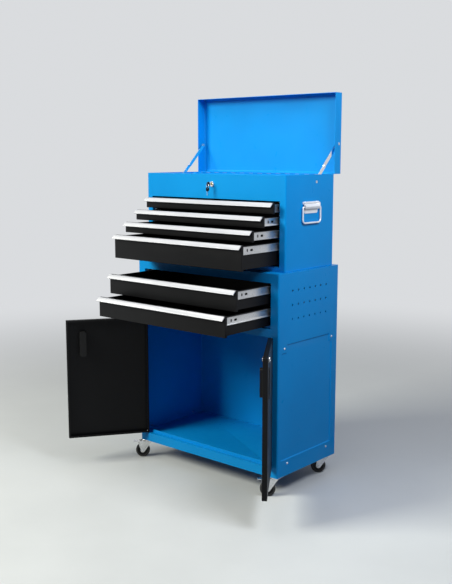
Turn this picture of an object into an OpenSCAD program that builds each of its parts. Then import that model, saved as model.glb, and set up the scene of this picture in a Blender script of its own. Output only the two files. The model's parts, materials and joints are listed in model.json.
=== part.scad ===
// Rolling tool chest: a lift-off top chest with four drawers and a lidded till, standing on a
// cabinet with two drawers, a two-door compartment and four swivel casters.
// Millimetres. X is the width, -Y the front, +Z up. The origin is on the floor under the cabinet.
// Everything is drawn as it stands: lid up, doors open, drawers pulled out in steps.

/* [Cabinet] */
// Width of the cabinet
cab_w = 616; // [604:1:640]
// Depth of the cabinet, front plane to rear plane
cab_d = 325; // [320:1:360]
// Height of the cabinet's box, without the casters
cab_h = 652; // [648:1:700]
// Height of the cabinet's underside above the floor
ground_h = 66; // [66:1:70]
// Width of a front post beside the drawers
drawer_post_w = 31; // [28:0.5:36]
// Width of a front post beside the doors
door_post_w = 21.5; // [20:0.5:26]
// Height of the divider between the drawers and the doors
divider_h = 26; // [22:1:40]
// Thickness of the folded sheet metal
sheet = 1; // [0.8:0.1:1]

/* [Top chest] */
// Distance the chest's side stands inside the cabinet's side
chest_inset = 8; // [7:0.5:12]
// Distance the chest's front stands behind the cabinet's front
chest_setback = 41; // [30:1:44]
// Distance the chest's rear stands in front of the cabinet's rear
chest_rear_inset = 24; // [10:1:30]
// Height of the fascia over the chest's drawers
fascia_h = 79.2; // [70:0.1:90]
// Height of the closed lid's rim
lid_h = 40.4; // [38:0.1:44]

/* [Drawers] */
// Height of a shallow drawer's front
shallow_h = 34.2; // [33:0.1:40]
// Height of the chest's deep drawer front
deep_h = 77.5; // [70:0.1:90]
// Height of a cabinet drawer's front
cabinet_drawer_h = 64.5; // [60:0.1:70]
// Gap between a drawer's front and the post beside it
front_play = 2; // [2:0.5:8]
// How far the drawers stand open, top to bottom
drawer_out = [31, 80.5, 131, 180.5, 164, 213];

/* [Doors and lid] */
// Angle at which both doors stand open
door_angle = 125; // [90:1:125]
// Depth of a door's folded edge
door_t = 15.5; // [13:0.5:15.5]
// Length of the lid stay's lower arm, between its rivets
stay_lower_l = 70; // [66:0.5:74]

/* [Casters] */
// Diameter of a wheel
wheel_d = 50; // [44:1:50]
// Width of a wheel
wheel_w = 18; // [16:1:18]
// Distance from the swivel to the wheel's axle
caster_trail = 26; // [24:1:27]
// Distance of a swivel's axis from the cabinet's two nearest faces
caster_inset = 22; // [22:1:26]
// Direction in which the casters trail, from +X
caster_heading = 221; // [0:1:359]

/* [Hidden] */

$fn = 48;
eps = 0.01;
BLUE = [0.05, 0.5, 0.85];
BLACK = [0.06, 0.06, 0.065];
ALU = [0.93, 0.93, 0.93];
ZINC = [0.78, 0.79, 0.8];
CHROME = [0.85, 0.86, 0.88];
RUBBER = [0.05, 0.05, 0.05];

fit_gap = 0.08;    // radial clearance of a running fit
move_gap = 0.4;    // clearance between pieces that pass each other
clear = 10;        // a cutting block stands this far out past what it cuts

// cabinet planes
cf = -cab_d / 2;
cr = cab_d / 2;
ch = cab_w / 2;
cz0 = ground_h;
cz1 = ground_h + cab_h;
bend_r = 5;
post_lip = 19;
rail_h = 30;
rail_lip = 17;                       // depth of the top rail's fold
rail_turn = 9;                       // height of its turned-up edge
stop_h = 10;
stop_y = cf + 18;                    // rear face of the strip that the doors close against
stop_in = 22;                        // its ends stand this far inside the posts
div_back = 17.5;                     // depth of the divider's folds
top_gap = 3.2;
pair_gap = 6.3;
bottom_gap = 5.5;
cab_open_z1 = cz1 - rail_h;
cab_open_z0 = cab_open_z1 - top_gap - 2 * cabinet_drawer_h - pair_gap - bottom_gap;
door_z0 = cz0 + rail_h;
door_z1 = cab_open_z0 - divider_h;
door_open_h = door_z1 - door_z0;
dh = ch - drawer_post_w;
oh = ch - door_post_w;
front_w = 2 * (dh - front_play);
back_in = 2 * sheet;                 // the back panel stands in front of the rear flanges
rear_lip_w = 12;
foot_flange = 46;
foot_lip = 8;
foot_x = ch - foot_lip;              // folded edges end where the corner posts' flanges begin

// chest planes
seat_gap = 0.4;
base_rail_h = 15.1;
base_rail_lip = 14;
shallow_gap = 5.2;
chest_top_gap = 3.8;
chest_bottom_gap = 4;
sz = shallow_h + shallow_gap;
chest_d = cab_d - chest_setback - chest_rear_inset;
chest_h = base_rail_h + chest_bottom_gap + deep_h + 3 * sz + chest_top_gap + fascia_h;
xh = ch - chest_inset;
xf = cf + chest_setback;
xr = xf + chest_d;
xz0 = cz1 + seat_gap;
xz1 = xz0 + chest_h;
chest_open_z1 = xz1 - fascia_h;
chest_mid_y = (xf + xr) / 2;
fascia_lip = 17;
tab_x = [84, 98];                    // one of the two tabs that the lid's rim closes over
tab_h = 4;
rear_post_d = 18;
rear_post_gap = 2.5;

// drawers: top edge of each front, height, unit front plane, body length
d_top = [chest_open_z1 - chest_top_gap,
         chest_open_z1 - chest_top_gap - sz,
         chest_open_z1 - chest_top_gap - 2 * sz,
         chest_open_z1 - chest_top_gap - 3 * sz,
         cab_open_z1 - top_gap,
         cab_open_z1 - top_gap - cabinet_drawer_h - pair_gap];
d_h = [shallow_h, shallow_h, shallow_h, deep_h, cabinet_drawer_h, cabinet_drawer_h];
d_front = [xf, xf, xf, xf, cf, cf];
rear_play = [12, 17];               // room behind a shut drawer: chest, cabinet
chest_drawer_l = chest_d - rear_play[0];
cabinet_drawer_l = cab_d - rear_play[1];
d_len = [chest_drawer_l, chest_drawer_l, chest_drawer_l, chest_drawer_l,
         cabinet_drawer_l, cabinet_drawer_l];
front_t = 9;
slide_w = 13;                       // room that a slide fills on each side
tray_hw = dh - slide_w;             // half width of a tray's body
tray_drop = 4;                      // the tray's rim under the front's top edge
tray_lift = 3;                      // the tray's floor over the front's bottom edge
runner_z = 18;                      // slide's centre under the drawer front's top edge
runner_h = 23;
runner_t = 1.2;
runner_lip = 6;
rail_sec_h = 35;
rail_leg = 10;
rail_hole_r = 2.2;
rail_hole_in = 9;
slide_step = 1.2;
rear_room = 3.5;                    // between a slide's rear end and the panel behind it
cage_ball_r = 2.25;
cage_in = 1.8;                      // the cage's web stands off the rail's web
cage_t = 0.6;
cage_leg = 9.6;
cage_y = 20;                        // the cage's front end behind the rail's
cage_l = [96, 120];                 // chest, cabinet
ball_x = 8;
ball_pitch = 12;
slot_y = [36, 56];                  // the runner's upright and level slots, from its front end
slot_r = [1.6, 2.3];
slot_half = [2, 3];
runner_hole_in = 20;

// lid and hinge
lid_over = 0.5;                     // the lid stands this far outside the chest's sides
lid_rear_over = 0.3;
lid_front_over = 0.2;
lid_gap = 0.6;
hinge_y = xr;
hinge_z = xz1 + 0.2;
knuckle_r = 2.2;
knuckle_l = 20;
hinge_in = 20;                      // the hinge ends at least this far inside the chest's sides
hinge_n = 2 * floor((xh - hinge_in) / knuckle_l);
hinge_hw = hinge_n * knuckle_l / 2;
hinge_pin_r = 1.2;
lid_r = 8;
leaf_l = 19;                        // width of a hinge leaf from the pin's axis
leaf_gap = knuckle_r + 0.35;        // a leaf's long edge clears the other leaf's knuckles

// stay: rivet centres in the open pose (y, z)
stay_rest = [99.5, 22.9];            // chest rivet in front of and below the hinge
stay_reach = [23, 96.6];             // lid rivet behind and above it
stay_chest = [hinge_y - stay_rest[0], xz1 - stay_rest[1]];
stay_lid = [hinge_y + stay_reach[0], hinge_z + stay_reach[1]];
// lid rivet's place with the lid shut
lid_rivet_closed = [hinge_y - stay_reach[1], hinge_z + stay_reach[0]];
stay_dir = (stay_lid - stay_chest) / norm(stay_lid - stay_chest);
stay_knee = stay_chest + stay_lower_l * stay_dir;
stay_w = 12;
stay_t = 1.5;
rivet_r = 2.5;
head_r = 4.5;
head_t = 1.2;
knee_head_t = 0.9;
head_gap = 0.3;                     // between a rivet's inner heads and the arm
arm_gap = 0.3;                      // between the two arms
stay_in = 4.2;                      // outer face of the lower arm inside the chest's side
stay_lower_x = xh - stay_in;
stay_upper_x = stay_lower_x - stay_t - arm_gap;

// doors
door_pin_in = 7;                    // door pin's distance from the post
door_pin_back = 3.3;                // door pin's distance behind the front plane
door_pin_r = 1.8;
door_pin_l = 8;
door_edge_gap = 1.5;                // round a shut door, and half of the gap between the two
door_foot_gap = 2;
door_rim = 7;
dz0 = door_z0 + door_foot_gap;
dz1 = door_z1 - door_edge_gap;
pin_x = oh - door_pin_in;
pin_y = cf + door_pin_back;
handle_x = 57.5;
handle_drop = 85;                    // the handle's middle under the opening's top
handle_z = door_z1 - handle_drop;
handle_w = 26;
handle_h = 92;
handle_deep = 26;
bezel_t = 2.5;
bezel_over = [2, 3];                // the bezel's overlap on the skin, sideways and upright
cup_wall = 2;
lock_x = handle_x;
lock_z = dz1 - 16;
lock_r = 7;
lock_ring = [2, 3];                 // the lock ring's overlap on the skin, and its thickness
lock_deep = door_t - 0.1;
door_cam_y = div_back + 1.2;        // cam's centre, behind the flange that it catches
door_cam_l = 24;
door_cam_w = 10;
door_plug_r = 5;
door_plug_out = 2.4;
keyway = [1.4, 6.4];

// casters
cx = ch - caster_inset;
cy = cr - caster_inset;
wr = wheel_d / 2;
fork_in = wheel_w / 2 + 1;
fork_t = 1.5;
fork_top = cz0 - 5;
fork_rear = 9;                      // the fork's cheeks reach this far behind the swivel
fork_front = 31;                    // and this far ahead of it, along the trail
crown_r = 15;
plate_s = 40;
plate_t = 2;
race_r = 11;
kingpin_r = 4;
kingpin_head = [7, 2];              // radius and thickness of its riveted end
bolt_at = 14;
bolt_r = 2.5;
bolt_l = 10;
bolt_head = [4, 2];
bolt_nut = [4.4, 4];
axle_r = 3;
axle_nut = [5, 1.5];
hub_r = 7;
lever_t = 38;                       // brake pin along the trail
lever_z = cz0 - 12;
lever_pin_r = 1.8;
lever_barrel_r = 3.4;
pedal_l = 21;
pedal_t = 1.8;
pedal_turn = [1.5, 5.4];
pedal_tilt = 8;
shoe_l = norm([lever_t - caster_trail, lever_z - wr]) - wr - 0.4;

// side handles
bail_r = 3;
bail_hw = 51;
bail_drop = 50;
bail_bend = 9;
bail_z = chest_open_z1 - 21.1;
bail_x = xh + 5;
brk_hw = 44;
brk_t = 1.5;
brk_ear = 3;
brk_rivet_r = 2;
brk_rivet_y = 30;
brk_rivet_z = [-13.5, 14.5];

// chest lock and its two keys
key_z = xz1 - 32.2;
escutcheon_r = 8.5;
escutcheon_t = 3.2;
plug_r = 4.8;
plug_out = 0.5;
barrel_r = 6.5;
barrel_l = 16;
lock_nut = [9.5, 3];
cam_t = 1.6;
cam_w = 10;
cam_l = 36;
cam_y = 18.6;                       // cam's centre behind the front plane
bow_r = 7.5;
bow_t = 2.6;
bow_hole_r = 2;
bow_hole_off = 3.5;
key_l = 21;
key_slot = 1.8;
key_slot_h = 6.8;
key_ring_r = 5.2;
key_wire_r = 0.9;
key_stand = 19;                     // the standing key's bow is this far in front

// ---------- helpers ----------

// rectangle w by d from the origin with its corner at the origin rounded
module corner2d(w, d, r) {
    translate([r, 0]) square([w - r, d]);
    translate([0, r]) square([w, d - r]);
    intersection() {
        translate([r, r]) circle(r);
        square([r, r]);
    }
}

// folded L of sheet: leg a along x, leg b along y, outside corner at the origin
module fold2d(a, b, r, t) {
    difference() {
        corner2d(a, b, r);
        translate([t, t]) corner2d(a, b, r - t);
    }
}

module rod(r, l, c = false) {
    cylinder(r = r, h = l, center = c);
}

// flat plate from y0 to y1, half width w, corners rounded
module plate2d(w, y0, y1, r) {
    translate([-w, y0 + r]) square([2 * w, y1 - y0 - 2 * r]);
    translate([-w + r, y0]) square([2 * w - 2 * r, y1 - y0]);
    for (x = [-w + r, w - r])
        for (y = [y0 + r, y1 - r])
            translate([x, y]) circle(r);
}

// rod along y, centred
module rod_y(r, l) {
    rotate([90, 0, 0]) cylinder(r = r, h = l, center = true);
}

// rod along x, centred
module rod_x(r, l) {
    rotate([0, 90, 0]) cylinder(r = r, h = l, center = true);
}

module box(a, b) {
    translate(a) cube(b - a);
}

// the same thing on both sides
module both() {
    children();
    mirror([1, 0, 0]) children();
}

// ---------- cabinet ----------

perf_cols = 7;
perf_rows = 3;
perf_in = 71.5;                      // grid's first and last holes from the front and rear planes
perf_drop = 57.4;
perf_pitch_y = (cab_d - 2 * perf_in) / (perf_cols - 1);
perf_pitch_z = 45;
perf_top = cz1 - perf_drop;
perf_r = 2.5;
press_y0 = cf + 18.5;
press_y1 = cr - 32.5;
press_z0 = cz0 + 53;
press_z1 = door_z1 - 25;
press_in = 1.6;
press_notch = 25;
screw_r = 2;
screw_l = 8;
screw_head = [3.6, 1.6];
screw_seat_r = 4.5;
screw_pts = [[cf + 32, press_z1 - 11], [cr - 35, press_z1 - 11],
             [cf + 52.5, cz0 + 39.5], [cr - 57, cz0 + 39.5]];

module post2d(inner) {
    // right side, front post: outside corner at (ch, cf)
    translate([ch, cf]) mirror([1, 0]) {
        fold2d(ch - inner, cab_d / 2, bend_r, sheet);
        translate([ch - inner - sheet, 0]) square([sheet, post_lip]);
    }
}

module rear2d(w, lip) {
    translate([ch, cr]) mirror([1, 0]) mirror([0, 1]) {
        fold2d(w, cab_d / 2, bend_r, sheet);
        if (lip > 0)
            translate([w - sheet, 0]) square([sheet, lip]);
    }
}

module press_cut(grow) {
    // notched outline of the pressed side panel, as a block through the sheet
    difference() {
        box([ch - 4 * sheet, press_y0 - grow, press_z0 - grow],
            [ch + sheet, press_y1 + grow, press_z1 + grow]);
        box([ch - clear, press_y0 - clear, press_z1 - press_notch + grow],
            [ch + clear, press_y0 + press_notch - grow, press_z1 + clear]);
        box([ch - clear, press_y1 - press_notch / 2 + grow, press_z1 - press_notch + grow],
            [ch + clear, press_y1 + clear, press_z1 + clear]);
    }
}

module cab_side() {
    difference() {
        union() {
            translate([0, 0, cz0]) linear_extrude(rail_h) {
                translate([ch, cf]) mirror([1, 0]) fold2d(foot_lip, cab_d / 2, bend_r, sheet);
                rear2d(rear_lip_w, 0);
            }
            translate([0, 0, door_z0]) linear_extrude(door_open_h) {
                post2d(oh);
                rear2d(rear_lip_w, 0);
            }
            translate([0, 0, door_z1]) linear_extrude(cz1 - sheet - door_z1) {
                post2d(dh);
                rear2d(ch - dh, post_lip);
            }
        }
        press_cut(0);
        // room for the door pin beside the post's lip
        translate([pin_x, pin_y, door_z1 - 1]) rod(door_pin_r + fit_gap, 3 * sheet);
        for (p = screw_pts)
            translate([ch, p[0], p[1]]) rod_x(screw_r, clear);
        for (i = [0 : perf_cols - 1])
            for (j = [0 : perf_rows - 1])
                translate([ch, (i - (perf_cols - 1) / 2) * perf_pitch_y, perf_top - j * perf_pitch_z])
                    rod_x(perf_r, clear);
    }
    // the pressed field, set in, and its step
    difference() {
        intersection() {
            press_cut(sheet);
            box([ch - press_in - sheet, cf, cz0], [ch - sheet + eps, cr, cz1]);
        }
        intersection() {
            press_cut(0);
            box([ch - press_in, cf, cz0], [ch + sheet, cr, cz1]);
        }
        for (p = screw_pts)
            translate([ch, p[0], p[1]]) rod_x(screw_seat_r, clear);
    }
}

module cab_side_right() {
    color(BLUE) cab_side();
}

module cab_side_left() {
    color(BLUE) mirror([1, 0, 0]) cab_side();
}

module cab_back() {
    color(BLUE) {
        y1 = cr - sheet;
        box([-foot_x, y1 - sheet, cz0], [foot_x, y1, door_z1]);
        box([-dh, y1 - sheet, door_z1 - eps], [dh, y1, cz1 - sheet]);
    }
}

module cab_top() {
    color(BLUE) {
        translate([0, 0, cz1 - sheet]) linear_extrude(sheet) plate2d(ch, cf, cr, bend_r);
        box([-dh, cf, cab_open_z1], [dh, cf + sheet, cz1 - sheet + eps]);
        box([-dh, cf, cab_open_z1], [dh, cf + rail_lip, cab_open_z1 + sheet]);
        box([-dh, cf + rail_lip - sheet, cab_open_z1], [dh, cf + rail_lip, cab_open_z1 + rail_turn]);
    }
}

module cab_divider() {
    color(BLUE) difference() {
        union() {
            box([-dh, cf, door_z1], [dh, cf + sheet, cab_open_z0]);
            box([-dh, cf, cab_open_z0 - sheet], [dh, cf + div_back, cab_open_z0]);
            box([-dh, cf, door_z1], [dh, cf + div_back, door_z1 + sheet]);
        }
        both() translate([pin_x, pin_y, door_z1 - 1]) rod(door_pin_r, 3 * sheet);
    }
}

// level sheet from y0 to y1 that stops short of the corner bends: its ends are narrower
module notched(y0, y1, z0, z1) {
    box([-foot_x, y0, z0], [foot_x, y1, z1]);
    box([-ch + sheet, max(y0, cf + bend_r), z0], [ch - sheet, min(y1, cr - bend_r), z1]);
}

module cab_base() {
    y1 = cr - back_in;
    color(BLUE) difference() {
        union() {
            box([-foot_x, cf, cz0], [foot_x, cf + sheet, door_z0]);
            box([-foot_x, cf, door_z0 - sheet], [foot_x, stop_y, door_z0]);
            notched(cf, cf + foot_flange, cz0, cz0 + slide_step);
            // stop strip for the doors, then the compartment's floor
            box([-oh + stop_in, stop_y - 2 * sheet, door_z0 - sheet],
                [oh - stop_in, stop_y, door_z0 + stop_h]);
            notched(stop_y - 2 * sheet, y1, door_z0 - sheet, door_z0);
            box([-foot_x, y1 - sheet, cz0], [foot_x, y1, door_z0]);
            notched(y1 - foot_flange, y1, cz0, cz0 + slide_step);
        }
        both() translate([pin_x, pin_y, door_z0 - 2 * sheet]) rod(door_pin_r, 3 * sheet);
        for (sx = [-1, 1])
            for (sy = [-1, 1])
                translate([sx * cx, sy * cy, cz0 - 1]) {
                    for (bx = [-1, 1])
                        for (by = [-1, 1])
                            translate([bx * bolt_at, by * bolt_at, 0]) rod(bolt_r, 4 * sheet);
                    rod(kingpin_r, 4 * sheet);
                }
    }
}

// ---------- slides ----------

// fixed rail of a slide on the right, front end at y0, centre height zc
module slide_rail(y0, l, zc) {
    h = rail_sec_h / 2;
    x1 = dh;
    translate([0, y0, zc]) difference() {
        union() {
            box([x1 - slide_step, 0, -h], [x1, l, h]);
            for (s = [0, 1])
                mirror([0, 0, s]) box([x1 - rail_leg, 0, h - slide_step], [x1, l, h]);
        }
        for (k = [rail_hole_in, l / 2, l - rail_hole_in])
            translate([x1, k, 0]) rod_x(rail_hole_r, clear / 2);
    }
}

// ball cage of a slide on the right: a strip bent over the balls
module slide_cage(y0, l, zc) {
    zb = rail_sec_h / 2 - slide_step - cage_ball_r;
    x1 = dh - slide_step - cage_in;
    translate([0, y0, zc]) union() {
        box([x1 - cage_t, 0, -zb], [x1, l, zb]);
        for (s = [0, 1])
            mirror([0, 0, s]) {
                box([dh - cage_leg, 0, zb - cage_t / 2], [x1, l, zb + cage_t / 2]);
                for (k = [ball_pitch / 2 : ball_pitch : l - ball_pitch / 3])
                    translate([dh - ball_x, k, zb]) sphere(cage_ball_r, $fn = 24);
            }
    }
}

// drawer's own runner on the right; y is measured from the drawer's front plane
module runner(i) {
    h = runner_h / 2;
    l = d_len[i] - front_t - 4 * sheet;
    x0 = tray_hw;
    translate([0, d_front[i] - drawer_out[i] + front_t, d_top[i] - runner_z]) difference() {
        union() {
            box([x0, 0, -h], [x0 + runner_t, l, h]);
            for (s = [0, 1])
                mirror([0, 0, s]) box([x0, 0, h - runner_t], [x0 + runner_lip, l, h]);
        }
        // a short upright slot and a longer level one near the front, one hole at the rear
        for (s = [-1, 1]) {
            translate([x0, slot_y[0], s * slot_half[0]]) rod_x(slot_r[0], 4);
            translate([x0, slot_y[1] + s * slot_half[1], 0]) rod_x(slot_r[1], 4);
        }
        box([x0 - 1, slot_y[0] - slot_r[0], -slot_half[0]], [x0 + 2, slot_y[0] + slot_r[0], slot_half[0]]);
        box([x0 - 1, slot_y[1] - slot_half[1], -slot_r[1]], [x0 + 2, slot_y[1] + slot_half[1], slot_r[1]]);
        translate([x0, l - runner_hole_in, 0]) rod_x(slot_r[1], 4);
    }
}

rail_in = 9.6;                       // a rail's front end behind the front plane
chest_rail_y = xf + rail_in;
chest_rail_l = xr - sheet - rear_room - chest_rail_y;
cab_rail_y = cf + rail_in;
cab_rail_l = cr - back_in - sheet - rear_room - cab_rail_y;

module cab_slides() {
    color(ZINC) both() for (i = [4, 5]) {
        slide_rail(cab_rail_y, cab_rail_l, d_top[i] - runner_z);
        slide_cage(cab_rail_y + cage_y, cage_l[1], d_top[i] - runner_z);
    }
}

module chest_slides() {
    color(ZINC) both() for (i = [0 : 3]) {
        slide_rail(chest_rail_y, chest_rail_l, d_top[i] - runner_z);
        slide_cage(chest_rail_y + cage_y, cage_l[0], d_top[i] - runner_z);
    }
}

module runners(i) {
    color(ZINC) both() runner(i);
}

module drawer_runners_1() { runners(0); }
module drawer_runners_2() { runners(1); }
module drawer_runners_3() { runners(2); }
module drawer_runners_4() { runners(3); }
module drawer_runners_5() { runners(4); }
module drawer_runners_6() { runners(5); }

// ---------- drawers ----------

module tray(i) {
    h = d_h[i];
    w = front_w / 2;
    l = d_len[i];
    zt = -tray_drop;
    zb = -h + tray_lift;
    s = sheet;
    color(BLACK) translate([0, d_front[i] - drawer_out[i], d_top[i]]) {
        // folded front
        difference() {
            box([-w, 0, -h], [w, front_t, 0]);
            box([-w + s, s, -h + s], [w - s, front_t + 1, -s]);
        }
        // open box behind it
        difference() {
            box([-tray_hw, front_t - s, zb], [tray_hw, l, zt]);
            box([-tray_hw + s, front_t, zb + s], [tray_hw - s, l - s, zt + 1]);
        }
        // ties between the two
        for (x = [-w + s - eps, tray_hw - 4 * s])
            box([x, front_t - s, zb], [x + w - tray_hw + 3 * s, front_t, zt]);
    }
}

module drawer_tray_1() { tray(0); }
module drawer_tray_2() { tray(1); }
module drawer_tray_3() { tray(2); }
module drawer_tray_4() { tray(3); }
module drawer_tray_5() { tray(4); }
module drawer_tray_6() { tray(5); }

// sloped finger strip along the top of a drawer front
pull_pts = [[0, 0], [-2.8, 0], [-13, -11.5], [-12.4, -13.2], [-11, -12.4], [-1.5, -1.7],
            [-1.5, -14], [0, -14]];
module pull(i) {
    color(ALU) translate([-front_w / 2, d_front[i] - drawer_out[i], d_top[i]])
        rotate([90, 0, 90]) linear_extrude(front_w) polygon(pull_pts);
}

module drawer_pull_1() { pull(0); }
module drawer_pull_2() { pull(1); }
module drawer_pull_3() { pull(2); }
module drawer_pull_4() { pull(3); }
module drawer_pull_5() { pull(4); }
module drawer_pull_6() { pull(5); }

// ---------- cabinet fasteners ----------

module panel_screw(p) {
    // head outside, shank through the sheet
    translate([ch, p[0], p[1]]) {
        translate([screw_head[1] / 2, 0, 0]) rod_x(screw_head[0], screw_head[1]);
        translate([-screw_l / 2, 0, 0]) rod_x(screw_r - fit_gap, screw_l);
    }
}

module cab_fasteners() {
    color(ZINC) both() {
        for (p = screw_pts) panel_screw(p);
        translate([pin_x, pin_y, door_z0 - sheet]) rod(door_pin_r, door_pin_l + sheet);
        translate([pin_x, pin_y, door_z1 - door_pin_l]) rod(door_pin_r, door_pin_l + sheet);
    }
}

// ---------- casters ----------

module caster_plate() {
    difference() {
        union() {
            box([-plate_s / 2, -plate_s / 2, cz0 - plate_t], [plate_s / 2, plate_s / 2, cz0]);
            translate([0, 0, fork_top + move_gap])
                rod(race_r, cz0 - plate_t - fork_top - move_gap + eps);
        }
        for (bx = [-1, 1])
            for (by = [-1, 1])
                translate([bx * bolt_at, by * bolt_at, cz0 - 2 * plate_t]) rod(bolt_r, clear);
    }
    // kingpin with its riveted end under the fork
    kingpin_z = fork_top - fork_t - move_gap - kingpin_head[1];
    translate([0, 0, kingpin_z]) {
        rod(kingpin_head[0], kingpin_head[1]);
        rod(kingpin_r, cz0 + 2 * slide_step - kingpin_z);
    }
}

module caster_bolt() {
    // hexagon head under the plate, nut above the flange
    translate([0, 0, cz0 - plate_t - bolt_head[1]])
        cylinder(r = bolt_head[0], h = bolt_head[1], $fn = 6);
    translate([0, 0, cz0 - plate_t - 1]) rod(bolt_r, bolt_l);
    translate([0, 0, cz0 + slide_step]) cylinder(r = bolt_nut[0], h = bolt_nut[1], $fn = 6);
}

module caster_plates() {
    color(ZINC) for (sx = [-1, 1])
        for (sy = [-1, 1])
            translate([sx * cx, sy * cy, 0]) {
                caster_plate();
                for (bx = [-1, 1])
                    for (by = [-1, 1])
                        translate([bx * bolt_at, by * bolt_at, 0]) caster_bolt();
            }
}

// fork drawn with the trail along +x, swivel axis at the origin
module fork(braked) {
    z1 = fork_top;
    difference() {
        union() {
            translate([0, 0, z1 - fork_t]) rod(crown_r, fork_t);
            box([-fork_rear, -fork_in - fork_t, z1 - fork_t],
                [fork_front - 2, fork_in + fork_t, z1]);
            for (s = [0, 1])
                mirror([0, s, 0]) translate([0, fork_in + fork_t, 0]) rotate([90, 0, 0])
                    linear_extrude(fork_t) {
                        polygon([[-fork_rear, z1], [fork_front, z1], [caster_trail + 7.9, wr - 1],
                                 [caster_trail - 6, wr - 5.2]]);
                        translate([caster_trail, wr]) circle(8);
                        if (braked) {
                            translate([lever_t, lever_z]) circle(5);
                            polygon([[24, z1], [lever_t - 2, z1 - 2.4], [lever_t + 3.5, lever_z - 3.4],
                                     [caster_trail + 7, wr + 2]]);
                        }
                    }
        }
        translate([0, 0, z1 - clear]) rod(kingpin_r + fit_gap, 2 * clear);
        box([-3 * clear, -fork_in, z1 - 4 * clear], [6 * clear, fork_in, z1 - fork_t]);
        translate([caster_trail, 0, wr]) rod_y(axle_r, 6 * clear);
        if (braked) translate([lever_t, 0, lever_z]) rod_y(lever_pin_r, 6 * clear);
    }
}

module axle() {
    translate([caster_trail, 0, wr]) {
        rod_y(axle_r, 2 * (fork_in + fork_t) + 2);
        for (s = [-1, 1])
            translate([0, s * (fork_in + fork_t + axle_nut[1] / 2), 0])
                rod_y(axle_nut[0], axle_nut[1]);
    }
}

module lever_pin() {
    translate([lever_t, 0, lever_z]) rod_y(lever_pin_r, 2 * (fork_in + fork_t) + 1.2);
}

module at_caster(sx, sy) {
    translate([sx * cx, sy * cy, 0]) rotate([0, 0, caster_heading]) children();
}

module caster_fork(sx, sy, braked) {
    color(ZINC) at_caster(sx, sy) {
        fork(braked);
        axle();
        if (braked) lever_pin();
    }
}

module caster_fork_fl() { caster_fork(-1, -1, true); }
module caster_fork_fr() { caster_fork(1, -1, true); }
module caster_fork_rl() { caster_fork(-1, 1, false); }
module caster_fork_rr() { caster_fork(1, 1, false); }

// one half of the wheel's section, from the middle of the tread to the hub's face and bore
rim_r = 16.5;
wheel_half = [[wr, wheel_w / 2 - 3.6], [wr - 3, wheel_w / 2 - 0.6], [rim_r, wheel_w / 2 - 0.6],
              [rim_r - 1.5, wheel_w / 2 - 2.5], [hub_r + 1, wheel_w / 2 - 2.5],
              [hub_r, wheel_w / 2], [axle_r + fit_gap, wheel_w / 2]];
wheel_pts = concat(wheel_half, [for (k = [len(wheel_half) - 1 : -1 : 0])
                                    [wheel_half[k][0], -wheel_half[k][1]]]);
module caster_wheel(sx, sy) {
    color(RUBBER) at_caster(sx, sy) translate([caster_trail, 0, wr]) rotate([90, 0, 0])
        rotate_extrude($fn = 64) polygon(wheel_pts);
}

module caster_wheel_fl() { caster_wheel(-1, -1); }
module caster_wheel_fr() { caster_wheel(1, -1); }
module caster_wheel_rl() { caster_wheel(-1, 1); }
module caster_wheel_rr() { caster_wheel(1, 1); }

// pedal on a barrel, with the shoe that nears the tread as the pedal is pressed
module brake_lever() {
    w = fork_in - move_gap;
    translate([lever_t, w, lever_z]) rotate([90, 0, 0]) linear_extrude(2 * w) difference() {
        union() {
            circle(lever_barrel_r);
            rotate(pedal_tilt) {
                translate([2.1, 0.6]) square([pedal_l - 2.1, pedal_t]);
                translate([pedal_l - pedal_turn[0], -3]) square(pedal_turn);
            }
            polygon([[-1.6, -2.4], [2.1, -2.4], [1.5, -shoe_l], [0.2, -shoe_l]]);
        }
        circle(lever_pin_r + fit_gap);
    }
}

module brake_lever_fl() { color(ZINC) at_caster(-1, -1) brake_lever(); }
module brake_lever_fr() { color(ZINC) at_caster(1, -1) brake_lever(); }

// ---------- doors (drawn closed on the right, then swung and mirrored) ----------

module swing_right() {
    translate([pin_x, pin_y, 0]) rotate([0, 0, door_angle]) translate([-pin_x, -pin_y, 0])
        children();
}

module door_pan(lock) {
    x0 = door_edge_gap;
    x1 = oh - door_edge_gap;
    s = sheet;
    difference() {
        box([x0, cf, dz0], [x1, cf + door_t, dz1]);
        box([x0 + s, cf + s, dz0 + s], [x1 - s, cf + door_t - s, dz1 - s]);
        box([x0 + door_rim, cf + door_t - 3 * s, dz0 + door_rim],
            [x1 - door_rim, cf + door_t + s, dz1 - door_rim]);
        translate([pin_x, pin_y, dz0 - 1]) rod(door_pin_r + fit_gap, dz1 - dz0 + 2);
        cup_block(bezel_over[0], bezel_over[1], cf - s, cf + 2 * s);
        if (lock) translate([lock_x, cf, lock_z]) rod_y(lock_r, clear);
    }
}

module door_right() { color(BLACK) swing_right() door_pan(true); }
module door_left() { color(BLACK) mirror([1, 0, 0]) swing_right() door_pan(false); }

// block at the handle's place, drawn in sideways and upright from the bezel's outline
module cup_block(in_x, in_z, y0, y1) {
    hw = handle_w / 2 - in_x;
    hh = handle_h / 2 - in_z;
    box([handle_x - hw, y0, handle_z - hh], [handle_x + hw, y1, handle_z + hh]);
}

// recessed finger cup: a bezel outside, a cup behind the skin
module cup() {
    difference() {
        union() {
            cup_block(0, 0, cf - bezel_t, cf);
            cup_block(bezel_over[0], bezel_over[1], cf - eps, cf + handle_deep);
        }
        cup_block(bezel_over[0] + cup_wall, bezel_over[1] + cup_wall,
                  cf - clear, cf + handle_deep - cup_wall);
    }
}

module door_handle_right() { color(BLACK) swing_right() cup(); }
module door_handle_left() { color(BLACK) mirror([1, 0, 0]) swing_right() cup(); }

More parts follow.
